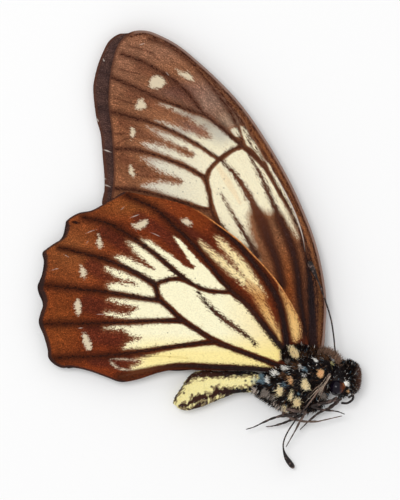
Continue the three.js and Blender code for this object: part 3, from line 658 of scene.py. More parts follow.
def wing_scale_material(name, underside):
    """Dusty wing scales: brown ground, pale panels whose edges break up into grains, dark veins."""
    shader = Shader(name, roughness=0.8, specular=0.07)
    flow = shader.attribute("flow", "Vector")
    streak = shader.noise(0.2 * MM, 3.0, 0.65, flow)
    grain = shader.noise(0.17 * MM, 2.0, 0.6)
    fine = shader.noise(0.08 * MM, 1.0)
    broad = shader.noise(1.8 * MM, 3.0, 0.55, flow)
    mixed = shader.maths("MULTIPLY_ADD", streak, 0.55, shader.maths("MULTIPLY", grain, 0.45))
    centred = shader.maths("MULTIPLY", shader.maths("SUBTRACT", mixed, 0.5), 8.0)
    soft = shader.attribute("softness", "Fac")

    mottle = shader.ramp(centred, -1.6, 1.6, 0.5, 1.5)
    ground = shader.attribute("ground", "Color")
    if not underside:
        ground = shader.mix(0.86, ground, srgb(56, 42, 42))
    ground = shader.mix(1.0, ground, mottle, "MULTIPLY")
    ground = shader.mix(1.0, ground, shader.ramp(broad, 0.3, 0.7, 0.8, 1.15), "MULTIPLY")
    # Fine bright specks over the ground: painted glints of the scales
    ground = shader.mix(1.0, ground, shader.ramp(shader.noise(0.13 * MM, 0.0), 0.52, 0.78, 1.0, 2.4), "MULTIPLY")

    cover = shader.maths("MULTIPLY_ADD", centred, shader.attribute("grit", "Fac"), shader.attribute("cover", "Fac"))
    pale = shader.ramp(cover, shader.maths("MULTIPLY", soft, -1.0), soft)
    light = shader.mix(shader.ramp(streak, 0.5, 0.75, 0.0, 0.3), shader.attribute("light", "Color"), srgb(214, 178, 120))
    light = shader.mix(1.0, light, shader.ramp(grain, 0.3, 0.65, 0.88, 1.06), "MULTIPLY")
    fringe = shader.ramp(cover, shader.maths("MULTIPLY", soft, -3.2), shader.maths("MULTIPLY", soft, -0.5), 0.0, 0.3)
    ground = shader.mix(fringe, ground, srgb(166, 108, 70))
    colour = shader.mix(pale, ground, light)
    spot = shader.ramp(shader.maths("MULTIPLY_ADD", centred, 1.8, shader.attribute("spot", "Fac")), -0.8, 2.2, 0.0, 0.92)
    colour = shader.mix(spot, colour, srgb(224, 208, 178))
    sparse = shader.ramp(shader.noise(2.5 * MM, 0.0), 0.42, 0.5)
    dots = shader.maths("MULTIPLY", shader.dots(1.0 * MM, 0.11 * MM), sparse)
    colour = shader.mix(shader.maths("MULTIPLY", dots, 0.85), colour, srgb(60, 40, 26))

    vein = shader.attribute("vein", "Fac")
    frayed = shader.maths("MULTIPLY_ADD", centred, 3.0, vein)
    halo = shader.ramp(frayed, -1.8, 0.3, 0.0, 0.85 if underside else 0.0)
    colour = shader.mix(halo, colour, shader.attribute("halo_tone", "Color"))
    core = shader.ramp(shader.maths("MULTIPLY_ADD", centred, 2.1, vein), -0.5, 0.7, 0.0, 0.96 if underside else 0.35)
    colour = shader.mix(core, colour, shader.attribute("vein_tone", "Color"))
    # Sparse pale lilac specks on the veins: painted glints
    vein_glint = shader.maths("MULTIPLY", shader.ramp(vein, 0.3, 1.4), shader.ramp(fine, 0.52, 0.74, 0.0, 0.26))
    colour = shader.mix(vein_glint, colour, srgb(128, 104, 104))
    colour = shader.mix(shader.attribute("rim", "Fac"), colour, shader.attribute("rim_tone", "Color"))
    # Pale strokes: scales rubbed off and tears, with painted glints along some veins
    scratch_and_glint = shader.ramp(shader.attribute("scratch_and_glint", "Fac"), -0.3, 0.5, 0.0, 0.75)
    colour = shader.mix(scratch_and_glint, colour, srgb(226, 214, 202))
    shader.bump(shader.maths("ADD", mixed, fine), 0.3, 0.03 * MM)
    return shader.finish(colour)


def wing_edge_material():
    shader = Shader("wing_edge", roughness=0.7, specular=0.2)
    return shader.finish(shader.mix(shader.noise(0.3 * MM), srgb(60, 38, 28), srgb(96, 62, 42)))


def tufted_material(name, dark, light, roughness=0.5):
    """Body scales: the piece's own tone attribute over a dark cuticle, broken up by two noises."""
    shader = Shader(name, roughness=roughness, specular=0.16)
    tone = shader.attribute("tone", "Color")
    shade = shader.ramp(shader.noise(0.12 * MM, 3.0, 0.6), 0.3, 0.7, dark, light)
    shader.bump(shader.noise(0.1 * MM, 3.0), 0.5, 0.05 * MM)
    return shader.finish(shader.mix(1.0, tone, shade, "MULTIPLY"))


def eye_material():
    """Compound eye: smooth dark dome under a clear gloss, with the tiny facets as a cell pattern."""
    shader = Shader("eye_facets", roughness=0.2, specular=0.22)
    cells = shader.tree.nodes.new("ShaderNodeTexVoronoi")
    shader.tree.links.new(shader.place, cells.inputs["Vector"])
    cells.inputs["Scale"].default_value = 1 / (0.07 * MM)
    shader.bump(shader.maths("MULTIPLY", cells.outputs["Distance"], -1.0), 0.25, 0.01 * MM)
    return shader.finish(shader.mix(1.0, shader.attribute("tone", "Color"), shader.ramp(shader.noise(0.5 * MM), 0.3, 0.7, 0.6, 1.3), "MULTIPLY"))


def cuticle_material():
    """Leg and antenna cuticle: dark brown with paler, pinkish blotches of painted sheen in places."""
    shader = Shader("dark_cuticle", roughness=0.5, specular=0.3)
    painted_sheen_blotch = shader.ramp(shader.noise(0.6 * MM, 4.0, 0.6), 0.52, 0.68)
    shader.bump(shader.noise(0.06 * MM, 2.0), 0.4, 0.02 * MM)
    tone = shader.attribute("tone", "Color")
    return shader.finish(shader.mix(shader.maths("MULTIPLY", painted_sheen_blotch, 0.55), tone, srgb(150, 122, 112)))


# Wings

def wing_grid(edge, corners, rows, columns):
    """Coons patch: the two long edges blended across, the base and the outer margin blended along, and
    the four corners' own blend taken off once. Rows run from the front edge to the rear edge."""
    points = np.asarray(edge, float)
    count = len(points)
    around = np.vstack([points[-2:], points, points[:3]])
    per_span = 24
    dense = curve_at(around, np.linspace(0, 1, (len(around) - 1) * per_span + 1))[2 * per_span:]
    dense = dense[:count * per_span + 1]
    tip, front, rear, corner = (c * per_span for c in corners)
    front_edge = even_line(dense[tip:front + 1][::-1], columns)
    base = even_line(dense[front:rear + 1], rows)
    rear_edge = even_line(dense[rear:corner + 1], columns)
    margin = even_line(dense[corner:][::-1], rows)
    across = np.linspace(0, 1, rows)[:, None, None]
    along = np.linspace(0, 1, columns)[None, :, None]
    long_blend = (1 - across) * front_edge[None] + across * rear_edge[None]
    short_blend = (1 - along) * base[:, None] + along * margin[:, None]
    corner_blend = ((1 - across) * ((1 - along) * base[0] + along * margin[0])
                    + across * ((1 - along) * base[-1] + along * margin[-1]))
    return (long_blend + short_blend - corner_blend).reshape(-1, 2)


def lie_in_slope(places, heights):
    """Points of the wing plane, turned about the line through the two rest points by the wings' tilt."""
    flat = np.concatenate([on_floor_plan(places), heights[:, None]], axis=1)
    pivot = np.append(on_floor_plan(REST_POINT_A), 0)
    axis = pivot - np.append(on_floor_plan(REST_POINT_B), 0)
    axis /= np.linalg.norm(axis)
    arm = flat - pivot
    c, s = math.cos(-WING_TILT), math.sin(-WING_TILT)
    turned = arm * c + np.cross(axis, arm) * s + axis * (arm @ axis)[:, None] * (1 - c)
    return turned + pivot


def blended(first, second, share):
    return np.asarray(first) * (1 - share[:, None]) + np.asarray(second) * share[:, None]


def darkened(ground, places, wedges, tone, strength):
    """Ground blended towards a dark tone by how near each place is to the nearest wedge's line."""
    nearness = deepest([np.clip(1 + stroke_depth(places, line, (half, half)) / reach, 0, 1)
                        for half, reach, line in wedges])
    return blended(ground, tone, strength * nearness * nearness * (3 - 2 * nearness))


def edge_gap(places, edge):
    """Distance to an edge line and how far along it the nearest point is."""
    return line_distance(places, curve_at(edge, np.linspace(0, 1, 6 * len(edge))))


def paint_forewing(places):
    """Colour fields of the forewing from distances to its veins, panels, spots and edges."""
    panels = deepest([panel_depth(places, outline) for outline in FOREWING_PANELS])
    veins = deepest([stroke_depth(places, line, (inner, outer)) for inner, outer, line in FOREWING_VEINS])
    folds = deepest([stroke_depth(places, line, (0.2, 0.6, 0.2)) for line in FOREWING_FOLDS])
    x, y = places[:, 0], places[:, 1]
    front, _ = edge_gap(places, RIGHT_FOREWING_EDGE[:16])
    margin, _ = edge_gap(places, RIGHT_FOREWING_EDGE[23:] + RIGHT_FOREWING_EDGE[:1])
    stripes = deepest([0.5 - np.abs(front - 3.2), 0.6 - np.abs(front - 9.0) - 3 * (y < 150)])
    streaks = deepest([stroke_depth(places, line, widths) for widths, line in FOREWING_STREAKS])
    limit = panel_depth(places, FOREWING_PALE_LIMIT)
    root = stroke_depth(places, [(314, 352), (313, 310), (311, 280), (306, 256)], (5.0, 4.0, 3.4, 0.5))
    # Ground tints; the greyish ones round (200-230, 100-128) on the upper cell are painted sheen
    ground = tinted(places, srgb(124, 80, 54), [
        ((122, 60), (24, 44), srgb(132, 90, 68), 0.8), ((165, 50), (30, 14), srgb(138, 96, 74), 0.8),
        ((212, 100), (26, 20), srgb(138, 108, 92), 0.9), ((180, 92), (24, 9), srgb(112, 78, 68), 0.8),
        ((230, 122), (14, 10), srgb(146, 124, 104), 0.8), ((150, 140), (40, 12), srgb(134, 90, 64), 0.7),
        ((122, 150), (12, 60), srgb(124, 76, 50), 0.7), ((200, 128), (18, 10), srgb(134, 100, 88), 0.9),
        ((276, 228), (26, 22), srgb(110, 72, 48), 0.9), ((285, 262), (22, 22), srgb(122, 72, 40), 0.9),
        ((290, 290), (12, 26), srgb(124, 62, 24), 0.9), ((304, 320), (5, 30), srgb(86, 56, 36), 0.9),
        ((321, 310), (4, 40), srgb(88, 56, 28), 0.9), ((308, 300), (6, 44), srgb(62, 38, 26), 0.7), ((312, 352), (12, 10), srgb(50, 30, 20), 1.0)])
    ground = darkened(ground, places, FOREWING_DARK_WEDGES, srgb(92, 50, 34), 0.5)
    ground = blended(ground, srgb(62, 34, 24), 0.55 * np.exp(-(np.minimum(veins, 0) / 3.2) ** 2))
    ground = blended(ground, srgb(60, 29, 17), 0.85 * np.exp(-(np.minimum(streaks, 0) / 4.0) ** 2))
    ground = blended(ground, srgb(72, 36, 24), 0.6 * np.clip(folds + 1, 0, 1))
    stripe = np.clip(1 - np.abs(front - 6.0) / 2.8, 0, 1) * 0.8
    ground = blended(ground, srgb(142, 86, 46), stripe * np.clip((300 - y) / 80, 0.1, 1) * np.clip((y - 50) / 70, 0, 1))
    blue = np.clip((212 - x) / 60, 0, 1)
    light = blended(np.tile(srgb(245, 235, 202), (len(places), 1)), srgb(217, 211, 194), blue)
    light = blended(light, srgb(240, 212, 168), np.clip(0.5 + stroke_depth(places, [(217, 164), (230, 184), (241, 203)],
                                                                          (1.0, 2.5, 0.5)) / 4, 0, 0.5))
    for centre, reach, tone in FOREWING_DUSTY_PRONGS:
        offset = (places - np.array(centre)) / np.array(reach)
        light = blended(light, tone, 0.85 * np.exp(-(offset ** 2).sum(axis=1)))
    dusk = np.exp(-(limit / 8) ** 2)
    outer = np.clip((208 - x) / 48, 0, 1)
    thin = np.exp(-(((places - np.array([196, 113])) / np.array([18, 5])) ** 2).sum(axis=1))
    dusted = np.exp(-((places - np.array([208, 128])) ** 2).sum(axis=1) / 16 ** 2)
    # Painted glint along the forewing's front vein, drawn with the pale strokes
    painted_glint = stroke_depth(places, [(306, 252), (303, 235), (296, 214), (286, 193), (275, 174), (264, 158)],
                         (0.1, 0.6, 0.7, 0.7, 0.4, 0.1))
    return {
        "cover": np.minimum(panels, limit) + 0.6 * ripple(places, 5.0, 3) - 1.1 * outer - 1.2 * thin,
        "softness": 0.8 + 2.4 * outer + 4.5 * dusk + 2.5 * dusted,
        "spot": deepest([panel_depth(places, outline) for outline in FOREWING_SPOTS]),
        "grit": 1.0 + 2.8 * outer + 3.4 * dusk + 2.5 * dusted,
        "vein": deepest([veins - 0.5, streaks - 0.2, stripes, root]),
        "rim": np.clip(2.6 - front, 0, 1) * np.clip((x - 120) / 30, 0, 1) * 0.85 + np.clip(1.6 - margin / 1.6, 0, 0.8),
        "scratch_and_glint": deepest([painted_glint] + [stroke_depth(places, line, (0.1, 0.5, 0.1)) for line in FOREWING_SCRATCHES]),
        "ground": ground,
        "light": light,
        "vein_tone": tinted(places, srgb(48, 22, 14), [((310, 300), (14, 66), srgb(16, 12, 16), 1.0),
                                                       ((246, 194), (30, 42), srgb(94, 48, 26), 1.0)]),
        "halo_tone": tinted(places, srgb(98, 54, 36), [((225, 200), (30, 50), srgb(112, 56, 24), 1.0),
                                                       ((300, 290), (26, 60), srgb(52, 28, 18), 1.0)]),
        "rim_tone": blended(np.tile(srgb(146, 122, 112), (len(places), 1)), srgb(84, 50, 38),
                            np.clip(2 - margin / 3, 0, 1)),
        "relief": veins,
    }


def paint_hindwing(places):
    """Colour fields of the hindwing from distances to its veins, panels, spots, slit and edges."""
    panels = deepest([panel_depth(places, outline) for outline in HINDWING_PANELS])
    dusted = deepest([panel_depth(places, outline) for outline in HINDWING_DUSTED_PANELS])
    tan = deepest([panel_depth(places, outline) for outline in HINDWING_TAN_PANELS])
    veins = deepest([stroke_depth(places, line, (inner, outer)) for inner, outer, line in HINDWING_VEINS])
    widths, line = HINDWING_CELL_STREAK
    streak = stroke_depth(places, line, widths)
    slit = stroke_depth(places, [(72.5, 222), (77, 222.6), (81, 223.6)], (0.4, 1.5, 0.3))
    x, y = places[:, 0], places[:, 1]
    costa, costa_along = edge_gap(places, RIGHT_HINDWING_EDGE[:13])
    margin, margin_along = edge_gap(places, RIGHT_HINDWING_EDGE[21:] + RIGHT_HINDWING_EDGE[:1])
    ground = tinted(places, srgb(106, 44, 18), [
        ((70, 250), (34, 34), srgb(136, 78, 40), 0.8), ((60, 325), (24, 44), srgb(112, 56, 22), 0.8),
        ((130, 206), (34, 12), srgb(126, 70, 32), 0.8), ((190, 222), (26, 14), srgb(114, 50, 18), 0.9),
        ((215, 238), (20, 10), srgb(84, 32, 14), 0.9), ((262, 300), (9, 26), srgb(112, 54, 20), 0.9),
        ((240, 369), (46, 4), srgb(34, 22, 18), 1.0), ((297, 352), (14, 11), srgb(36, 22, 18), 1.0),
        ((305, 330), (5, 18), srgb(40, 22, 16), 1.0), ((168, 372), (28, 5), srgb(58, 34, 24), 0.9), ((136, 379), (14, 4), srgb(84, 46, 28), 0.8)])
    ground = darkened(ground, places, HINDWING_DARK_WEDGES, srgb(80, 32, 19), 0.82)
    ground = blended(ground, srgb(46, 18, 10), 0.75 * np.exp(-(np.minimum(veins, 0) / 4.5) ** 2))
    # Painted highlight along the rounded front edge of the hindwing, which also clears the vein colour there
    lit = np.clip(1.6 - costa, 0, 1) * np.interp(costa_along, (0.3, 0.42, 0.74, 0.84), (0, 1, 1, 0))
    ground = blended(ground, srgb(200, 130, 72), lit)
    warm = np.clip((x - 222) / 66, 0, 1)
    low = np.clip((y - 333) / 20, 0, 1) * np.clip((x - 110) / 40, 0, 1)
    light = blended(np.tile(srgb(254, 247, 209), (len(places), 1)), srgb(252, 225, 158), warm)
    light = blended(light, srgb(255, 234, 150), 0.8 * low)
    light = blended(light, srgb(248, 228, 172), np.clip(dusted + 3, 0, 1) * (panels < 0))
    gold = blended(np.tile(srgb(206, 150, 86), (len(places), 1)), srgb(238, 194, 122), np.clip((y - 300) / 24, 0, 1))
    light = blended(light, gold, np.clip(tan + 2, 0, 1) * (panels < 0) * np.clip((y - 270) / 25, 0, 1))
    speckled = np.maximum(dusted - 0.8, tan - np.where(x > 279, 1.4, 4.3))
    dusty = speckled > np.maximum(panels, -4)
    outer = np.clip((178 - x) / 40, 0, 1)
    lower_left = np.interp(margin_along, (0.0, 0.1, 0.3, 0.55, 0.62, 1.0), (0.9, 1.0, 1.7, 1.9, 1.0, 0.8))
    return {
        "cover": np.maximum(panels + 0.5 * ripple(places, 5.0, 5), speckled),
        "softness": np.where(dusty, 2.2, 0.7 + 1.4 * outer),
        "spot": deepest([panel_depth(places, outline) for outline in HINDWING_SPOTS]),
        "grit": np.where(dusty, 4.2, 1.0 + 2.0 * outer),
        "vein": deepest([veins - 0.05, streak, slit * 2]) - 6 * lit,
        "rim": np.clip(1.5 * lower_left - margin / 1.8, 0, 0.9),
        "scratch_and_glint": deepest([stroke_depth(places, line, (0.1, 0.5, 0.1)) for line in HINDWING_SCRATCHES]),
        "ground": ground,
        "light": light,
        "vein_tone": tinted(places, srgb(34, 12, 6), [((278, 340), (40, 36), srgb(16, 8, 10), 1.0),
                                                      ((232, 321), (24, 20), srgb(76, 33, 14), 0.9),
                                                      ((236, 369), (56, 7), srgb(18, 12, 12), 1.0),
                                                      ((140, 373), (34, 8), srgb(96, 50, 26), 0.9)]),
        "halo_tone": np.tile(srgb(92, 40, 14), (len(places), 1)),
        "rim_tone": np.tile(srgb(46, 34, 32), (len(places), 1)),
        "relief": veins,
    }


FLOW_ALONG = 12 * MM
FLOW_ACROSS = 26 * MM
FIELD_COLOURS = ("ground", "light", "vein_tone", "halo_tone", "rim_tone")
FIELD_NUMBERS = ("cover", "softness", "spot", "grit", "vein", "rim", "scratch_and_glint")


def add_wing(node, edge, corners, level, outward, fields, settings, materials, scratches=()):
    """One wing: a sloping sheet with raised veins and a slight swell, given its thickness inwards."""
    rows, columns = settings.grid_across, settings.grid_along
    places = wing_grid(edge, corners, rows, columns)
    if scratches:
        worn = deepest([stroke_depth(places, line, (0.2, 0.7, 0.2)) for line in scratches])
        fields = {**fields, "scratch_and_glint": worn}
    plate_bottom = level * WING_SPACING
    outer = plate_bottom + (PLATE_THICKNESS if outward > 0 else settings.vein_height)
    crest = settings.vein_height * np.clip(fields["relief"] / 1.6, 0, 1)
    swell = settings.swell * ripple(places, 34.0, 11 + level)
    heights = outer + outward * crest + (swell if outward > 0 else np.abs(swell))
    vertices = lie_in_slope(places, heights)
    faces = sheet_faces(rows, columns)
    if outward < 0:
        faces = faces[:, ::-1]
    piece = add_mesh(node + "_scales", vertices, [faces], materials)
    for name in FIELD_NUMBERS:
        set_numbers(piece, name, fields[name])
    for name in FIELD_COLOURS:
        set_colours(piece, name, fields[name])
    set_flow(piece, rows, columns)
    thickness = piece.modifiers.new("Thickness", "SOLIDIFY")
    thickness.thickness = settings.thickness
    thickness.offset = -1
    thickness.material_offset = 1
    thickness.material_offset_rim = 2
    settle(piece, "wing_scales", node)
    return piece


def settle(piece, slot, *nodes):
    """Hides the parts a piece stands for and ties the piece to the root body. The slot is not used."""
    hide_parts(*nodes)
    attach(piece, "root")


# Hair

def hair_mesh(roots, tips, bend, widths):
    """Closed slim pyramids: three corners at the root, three at the middle pushed aside by the bend, one tip."""
    count = len(roots)
    along = tips - roots
    along /= np.linalg.norm(along, axis=1)[:, None]
    side = np.cross(along, np.array([0.3, 0.5, 0.81]))
    side /= np.linalg.norm(side, axis=1)[:, None]
    other = np.cross(along, side)
    turn = np.arange(3) * 2 * math.pi / 3
    ring = np.cos(turn)[None, :, None] * side[:, None] + np.sin(turn)[None, :, None] * other[:, None]
    low = roots[:, None] + ring * widths[:, None, None]
    middle = ((roots + tips) / 2 + bend)[:, None] + ring * (0.7 * widths)[:, None, None]
    vertices = np.concatenate([low, middle, tips[:, None]], axis=1).reshape(-1, 3)
    pattern = [(0, 2, 1)]
    for a, b in ((0, 1), (1, 2), (2, 0)):
        pattern += [(a, b, 3 + b), (a, 3 + b, 3 + a), (3 + a, 3 + b, 6)]
    faces = (np.array(pattern)[None] + 7 * np.arange(count)[:, None, None]).reshape(-1, 3)
    return vertices, faces


def scatter(body, rings, sides, count, rng):
    """Random points on a tube-like body's quads with their outward normals."""
    grid = body[:rings * sides].reshape(rings, sides, 3)
    ring, side = rng.integers(0, rings - 1, count * 3), rng.integers(0, sides, count * 3)
    a, b = grid[ring, side], grid[ring + 1, side]
    c, d = grid[ring, (side + 1) % sides], grid[ring + 1, (side + 1) % sides]
    area = np.linalg.norm(np.cross(b - a, c - a), axis=1)
    keep = rng.uniform(0, area.max(), len(area)) < area
    a, b, c, d = (corner[keep][:count] for corner in (a, b, c, d))
    s, t = rng.uniform(0, 1, (len(a), 1)), rng.uniform(0, 1, (len(a), 1))
    places = (a * (1 - s) + b * s) * (1 - t) + (c * (1 - s) + d * s) * t
    normals = np.cross(c - a, b - a)
    normals /= np.linalg.norm(normals, axis=1)[:, None]
    return places, normals


def in_picture(points):
    """Picture places under points given in metres."""
    return np.stack([points[:, 0] / SCALE + PICTURE_CENTRE[0], PICTURE_CENTRE[1] - points[:, 1] / SCALE], axis=1)


def unrolled(points):
    """Picture places whose y also grows with the height, so that a pattern keeps changing down a body's side."""
    places = in_picture(points)
    places[:, 1] += points[:, 2] / SCALE
    return places


def patch_tones(points, base, patches, ragged=0.0):
    """Tone at each point: the base, or the tone of the leaning ellipse that covers its picture place, with
    the ellipse's edge pushed in and out by smooth noise."""
    places = in_picture(points)
    tone = np.tile(np.array(base, float), (len(points), 1))
    wobble = 1 + 0.45 * ripple(unrolled(points), 1.6, 41) + ragged
    gaps = ripple(unrolled(points), 1.2, 43)
    for centre, size, lean, patch in patches:
        offset = places - np.array(centre)
        c, s = math.cos(lean), math.sin(lean)
        turned = offset @ np.array([[c, s], [-s, c]]) / np.array(size)
        pale = max(patch) > 0.7
        tone[((turned ** 2).sum(axis=1) * wobble < 1) & (pale | (gaps > -0.3))] = patch
    return tone


def add_hairs(name, roots, normals, hair, tone_of, material, seed):
    """Joined hairs: each leaves its root along the normal, the coat's lean and a random part of its own,
    and its brightness varies round its tone so that single locks show."""
    rng = np.random.default_rng(seed)
    clear = roots[:, 2] > FLOOR_CLEARANCE
    roots, normals = roots[clear], normals[clear]
    count = len(roots)
    reach = hair["length"] * rng.uniform(0.45, 1.15, count)[:, None]
    heading = normals + np.array(hair["lean"]) + rng.normal(0, hair["unruly"], roots.shape)
    heading /= np.linalg.norm(heading, axis=1)[:, None]
    tips = roots + heading * reach
    tips[:, 2] = np.maximum(tips[:, 2], FLOOR_CLEARANCE)
    bend = normals * reach * 0.14
    widths = hair["width"] * rng.uniform(0.6, 1.4, count)
    vertices, faces = hair_mesh(roots - normals * 0.05 * MM, tips, bend, widths)
    tone = tone_of(roots, rng.uniform(-0.25, 0.5, count))
    glow = rng.uniform(0.45, 1.3, count)[:, None]
    glow = np.where(tone.max(axis=1, keepdims=True) > 0.5, 0.9 + 0.1 * glow, glow)
    # Some dark hairs take a frost tone: pale frost and painted highlights
    frost_and_glint = rng.uniform(0, 1, count)[:, None] < hair["frost_and_glint"]
    tone = np.where(frost_and_glint & (tone.max(axis=1, keepdims=True) < 0.2), FROST_AND_GLINT_TONES[rng.integers(0, len(FROST_AND_GLINT_TONES), count)], tone * glow)
    hairs = add_mesh(name, vertices, [faces], [material], smooth=False)
    set_colours(hairs, "tone", np.repeat(tone, 7, axis=0))
    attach(hairs, "root")
    return hairs


# Settings

class WingSettings(bpy.types.PropertyGroup):
    thickness: bpy.props.FloatProperty(
        name="Thickness", description="Thickness of a wing", default=0.16 * MM, unit="LENGTH", precision=5)
    vein_height: bpy.props.FloatProperty(
        name="Vein height", description="How far a vein stands proud", default=0.1 * MM, unit="LENGTH", precision=5)
    swell: bpy.props.FloatProperty(
        name="Swell", description="Slow unevenness of the sheet", default=0.06 * MM, unit="LENGTH", precision=5)
    grid_along: bpy.props.IntProperty(
        name="Points along", description="Grid points from base to margin", default=236, min=20)
    grid_across: bpy.props.IntProperty(
        name="Points across", description="Grid points from front to rear edge", default=206, min=20)


class BodySettings(bpy.types.PropertyGroup):
    hair_length: bpy.props.FloatProperty(
        name="Hair length", description="Length of the thorax hair", default=0.8 * MM, unit="LENGTH", precision=5)
    hair_width: bpy.props.FloatProperty(
        name="Hair width", description="Radius of a hair at its root", default=0.045 * MM, unit="LENGTH", precision=5)
    hair_count: bpy.props.IntProperty(
        name="Hair count", description="Number of hairs on the thorax", default=11000, min=100)
    hair_colour: bpy.props.FloatVectorProperty(
        name="Hair colour", description="Dark body hair", subtype="COLOR", size=3, default=srgb(21, 12, 12))
    abdomen_colour: bpy.props.FloatVectorProperty(
        name="Abdomen colour", description="Pale side of the abdomen", subtype="COLOR", size=3,
        default=srgb(253, 241, 176))


class LimbSettings(bpy.types.PropertyGroup):
    femur_radius: bpy.props.FloatProperty(
        name="Femur radius", description="Radius of the thigh", default=0.36 * MM, unit="LENGTH", precision=5)
    tarsus_radius: bpy.props.FloatProperty(
        name="Foot radius", description="Radius near the claws", default=0.09 * MM, unit="LENGTH", precision=5)
    shaft_radius: bpy.props.FloatProperty(
        name="Antenna radius", description="Radius of the antenna's shaft", default=0.125 * MM, unit="LENGTH",
        precision=5)
    club_radius: bpy.props.FloatProperty(
        name="Club radius", description="Radius of the antenna's club", default=0.45 * MM, unit="LENGTH", precision=5)
    colour: bpy.props.FloatVectorProperty(
        name="Cuticle", description="Dark cuticle", subtype="COLOR", size=3, default=srgb(24, 14, 13))


class StageSettings(bpy.types.PropertyGroup):
    camera_distance: bpy.props.FloatProperty(
        name="Camera distance", description="Height of the camera", default=1.2, unit="LENGTH")
    floor_colour: bpy.props.FloatVectorProperty(
        name="Floor", description="Colour of the floor", subtype="COLOR", size=3, default=(0.98, 0.98, 0.98))
    key_power: bpy.props.FloatProperty(name="Key light", description="Power of the large light", default=2.7)
    fill_strength: bpy.props.FloatProperty(name="Fill light", description="Strength of the sky", default=0.70)


# Operators

class BUTTERFLY_OT_wings(bpy.types.Operator):
    """Add the four wings with their scales and veins"""
    bl_idname = "butterfly.wings"
    bl_label = "Wings"

    def execute(self, context):
        settings = context.scene.butterfly_wings
        materials = [wing_scale_material("wing_underside", True), wing_scale_material("wing_upperside", False),
                     wing_edge_material()]
        grid = settings.grid_across, settings.grid_along
        forewing = paint_forewing(wing_grid(RIGHT_FOREWING_EDGE, FOREWING_CORNERS, *grid))
        hindwing = paint_hindwing(wing_grid(RIGHT_HINDWING_EDGE, HINDWING_CORNERS, *grid))
        add_wing("left_hindwing", LEFT_HINDWING_EDGE, HINDWING_CORNERS, 0, -1, hindwing, settings, materials)
        add_wing("left_forewing", LEFT_FOREWING_EDGE, FOREWING_CORNERS, 1, -1, forewing, settings, materials,
                 LEFT_FOREWING_SCRATCHES)
        add_wing("right_forewing", RIGHT_FOREWING_EDGE, FOREWING_CORNERS, 2, 1, forewing, settings, materials)
        add_wing("right_hindwing", RIGHT_HINDWING_EDGE, HINDWING_CORNERS, 3, 1, hindwing, settings, materials)
        return {"FINISHED"}


def add_body_form(name, node, sections, slot, material, tone_of, rings=90, sides=96, offset=0.0, lumps=0.0):
    """A formed body whose skin is pushed in and out by smooth noise of the given height."""
    body, _, _ = formed_body(sections, rings, sides, offset)
    middle = body.mean(axis=0)
    outwards = body - middle
    outwards /= np.linalg.norm(outwards, axis=1)[:, None] + 1e-9
    around = unrolled(body)
    body += outwards * (lumps * (ripple(around, 7.0, 51) + 0.5 * ripple(around, 3.0, 52)))[:, None]
    body[:, 2] = np.maximum(body[:, 2], 0.0)
    piece = add_mesh(name, body, tube_faces(rings, sides), [material])
    set_colours(piece, "tone", tone_of(body))
    settle(piece, slot, node)
    return body, rings, sides


class BUTTERFLY_OT_thorax(bpy.types.Operator):
    """Add the thorax with its dark hair and cream tufts"""
    bl_idname = "butterfly.thorax"
    bl_label = "Thorax"

    def execute(self, context):
        settings = context.scene.butterfly_body
        dark = tuple(settings.hair_colour)
        skin = tufted_material("thorax_skin", 0.5, 1.1)
        tufts = tufted_material("thorax_tufts", 0.95, 1.12)
        form = add_body_form("thorax_skin", "thorax", THORAX_SECTIONS, "body_hair", skin,
                             lambda points: patch_tones(points, dark, THORAX_PATCHES), lumps=0.3 * MM)
        roots, normals = scatter(*form, settings.hair_count, np.random.default_rng(21))
        coat = {"length": settings.hair_length, "width": settings.hair_width, "lean": (-0.9, -0.35, 0.0),
                "unruly": 0.45, "frost_and_glint": 0.12}
        add_hairs("thorax_hair", roots, normals, coat,
                  lambda points, ragged: patch_tones(points, dark, THORAX_PATCHES, ragged), tufts, 22)
        add_locks(settings, dark, tufts)
        add_strands(tufts)
        add_root_mound(settings, dark, tufts)
        return {"FINISHED"}


# Locks that stand out from the body: name, line they grow from, lean, tone, length and share of dark ones
LOCKS = (
    ("collar_hair", [(318, 352.5), (326, 352), (334, 357), (339, 364)], (0.25, 0.6), (0.25, 0.145, 0.095), 0.85, 0.2),
    ("breast_fringe", [(253, 388), (261, 392), (270, 397), (279, 405), (285, 408)], (-0.5, -0.8),
     (0.60, 0.50, 0.42), 0.7, 0.66),
)


def add_locks(settings, dark, material):
    """Soft brown hair that stands up behind the head, and the ragged pale and dark fringe under the thorax."""
    count = 1100
    for number, (name, line, lean, tone, length, dark_share) in enumerate(LOCKS):
        rng = np.random.default_rng(61 + number)
        middle = curve_at(line, rng.uniform(0, 1, count)) + rng.normal(0, 1.5, (count, 2))
        roots = in_space(np.hstack([middle, rng.uniform(1.6, 5.0, (count, 1))]))
        normals = np.tile([lean[0], lean[1], 0.0], (count, 1)) + rng.normal(0, 0.2, (count, 3))
        coat = {"length": length * MM, "width": settings.hair_width * 0.8, "lean": (*lean, 0.0), "unruly": 0.35,
                "frost_and_glint": 0.15}
        add_hairs(name, roots, normals, coat, lambda points, ragged: np.where(
            (0.5 + 0.5 * ripple(in_picture(points), 2.6, 62) + ragged < dark_share)[:, None], dark, tone),
            material, 63 + number)


def add_strands(material):
    """Long pale bristles that arch over the breast beside the folded forelegs."""
    rng = np.random.default_rng(81)
    count = 18
    starts = rng.normal((328, 376), (1.4, 1.8), (count, 2))
    ends = rng.uniform((302, 395), (317, 406), (count, 2))
    roots = in_space(np.hstack([starts, np.full((count, 1), 5.5)]))
    tips = in_space(np.hstack([ends, np.full((count, 1), 6.0)]))
    arch = np.tile([0.0, 0.0, 0.75 * MM], (count, 1))
    vertices, faces = hair_mesh(roots, tips, arch, rng.uniform(0.05, 0.1, count) * MM)
    strands = add_mesh("breast_strands", vertices, [faces], [material], smooth=False)
    tones = np.array([srgb(150, 128, 112), srgb(58, 42, 36), srgb(196, 178, 158)])[rng.integers(0, 3, count)]
    set_colours(strands, "tone", np.repeat(tones, 7, axis=0))
    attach(strands, "root")


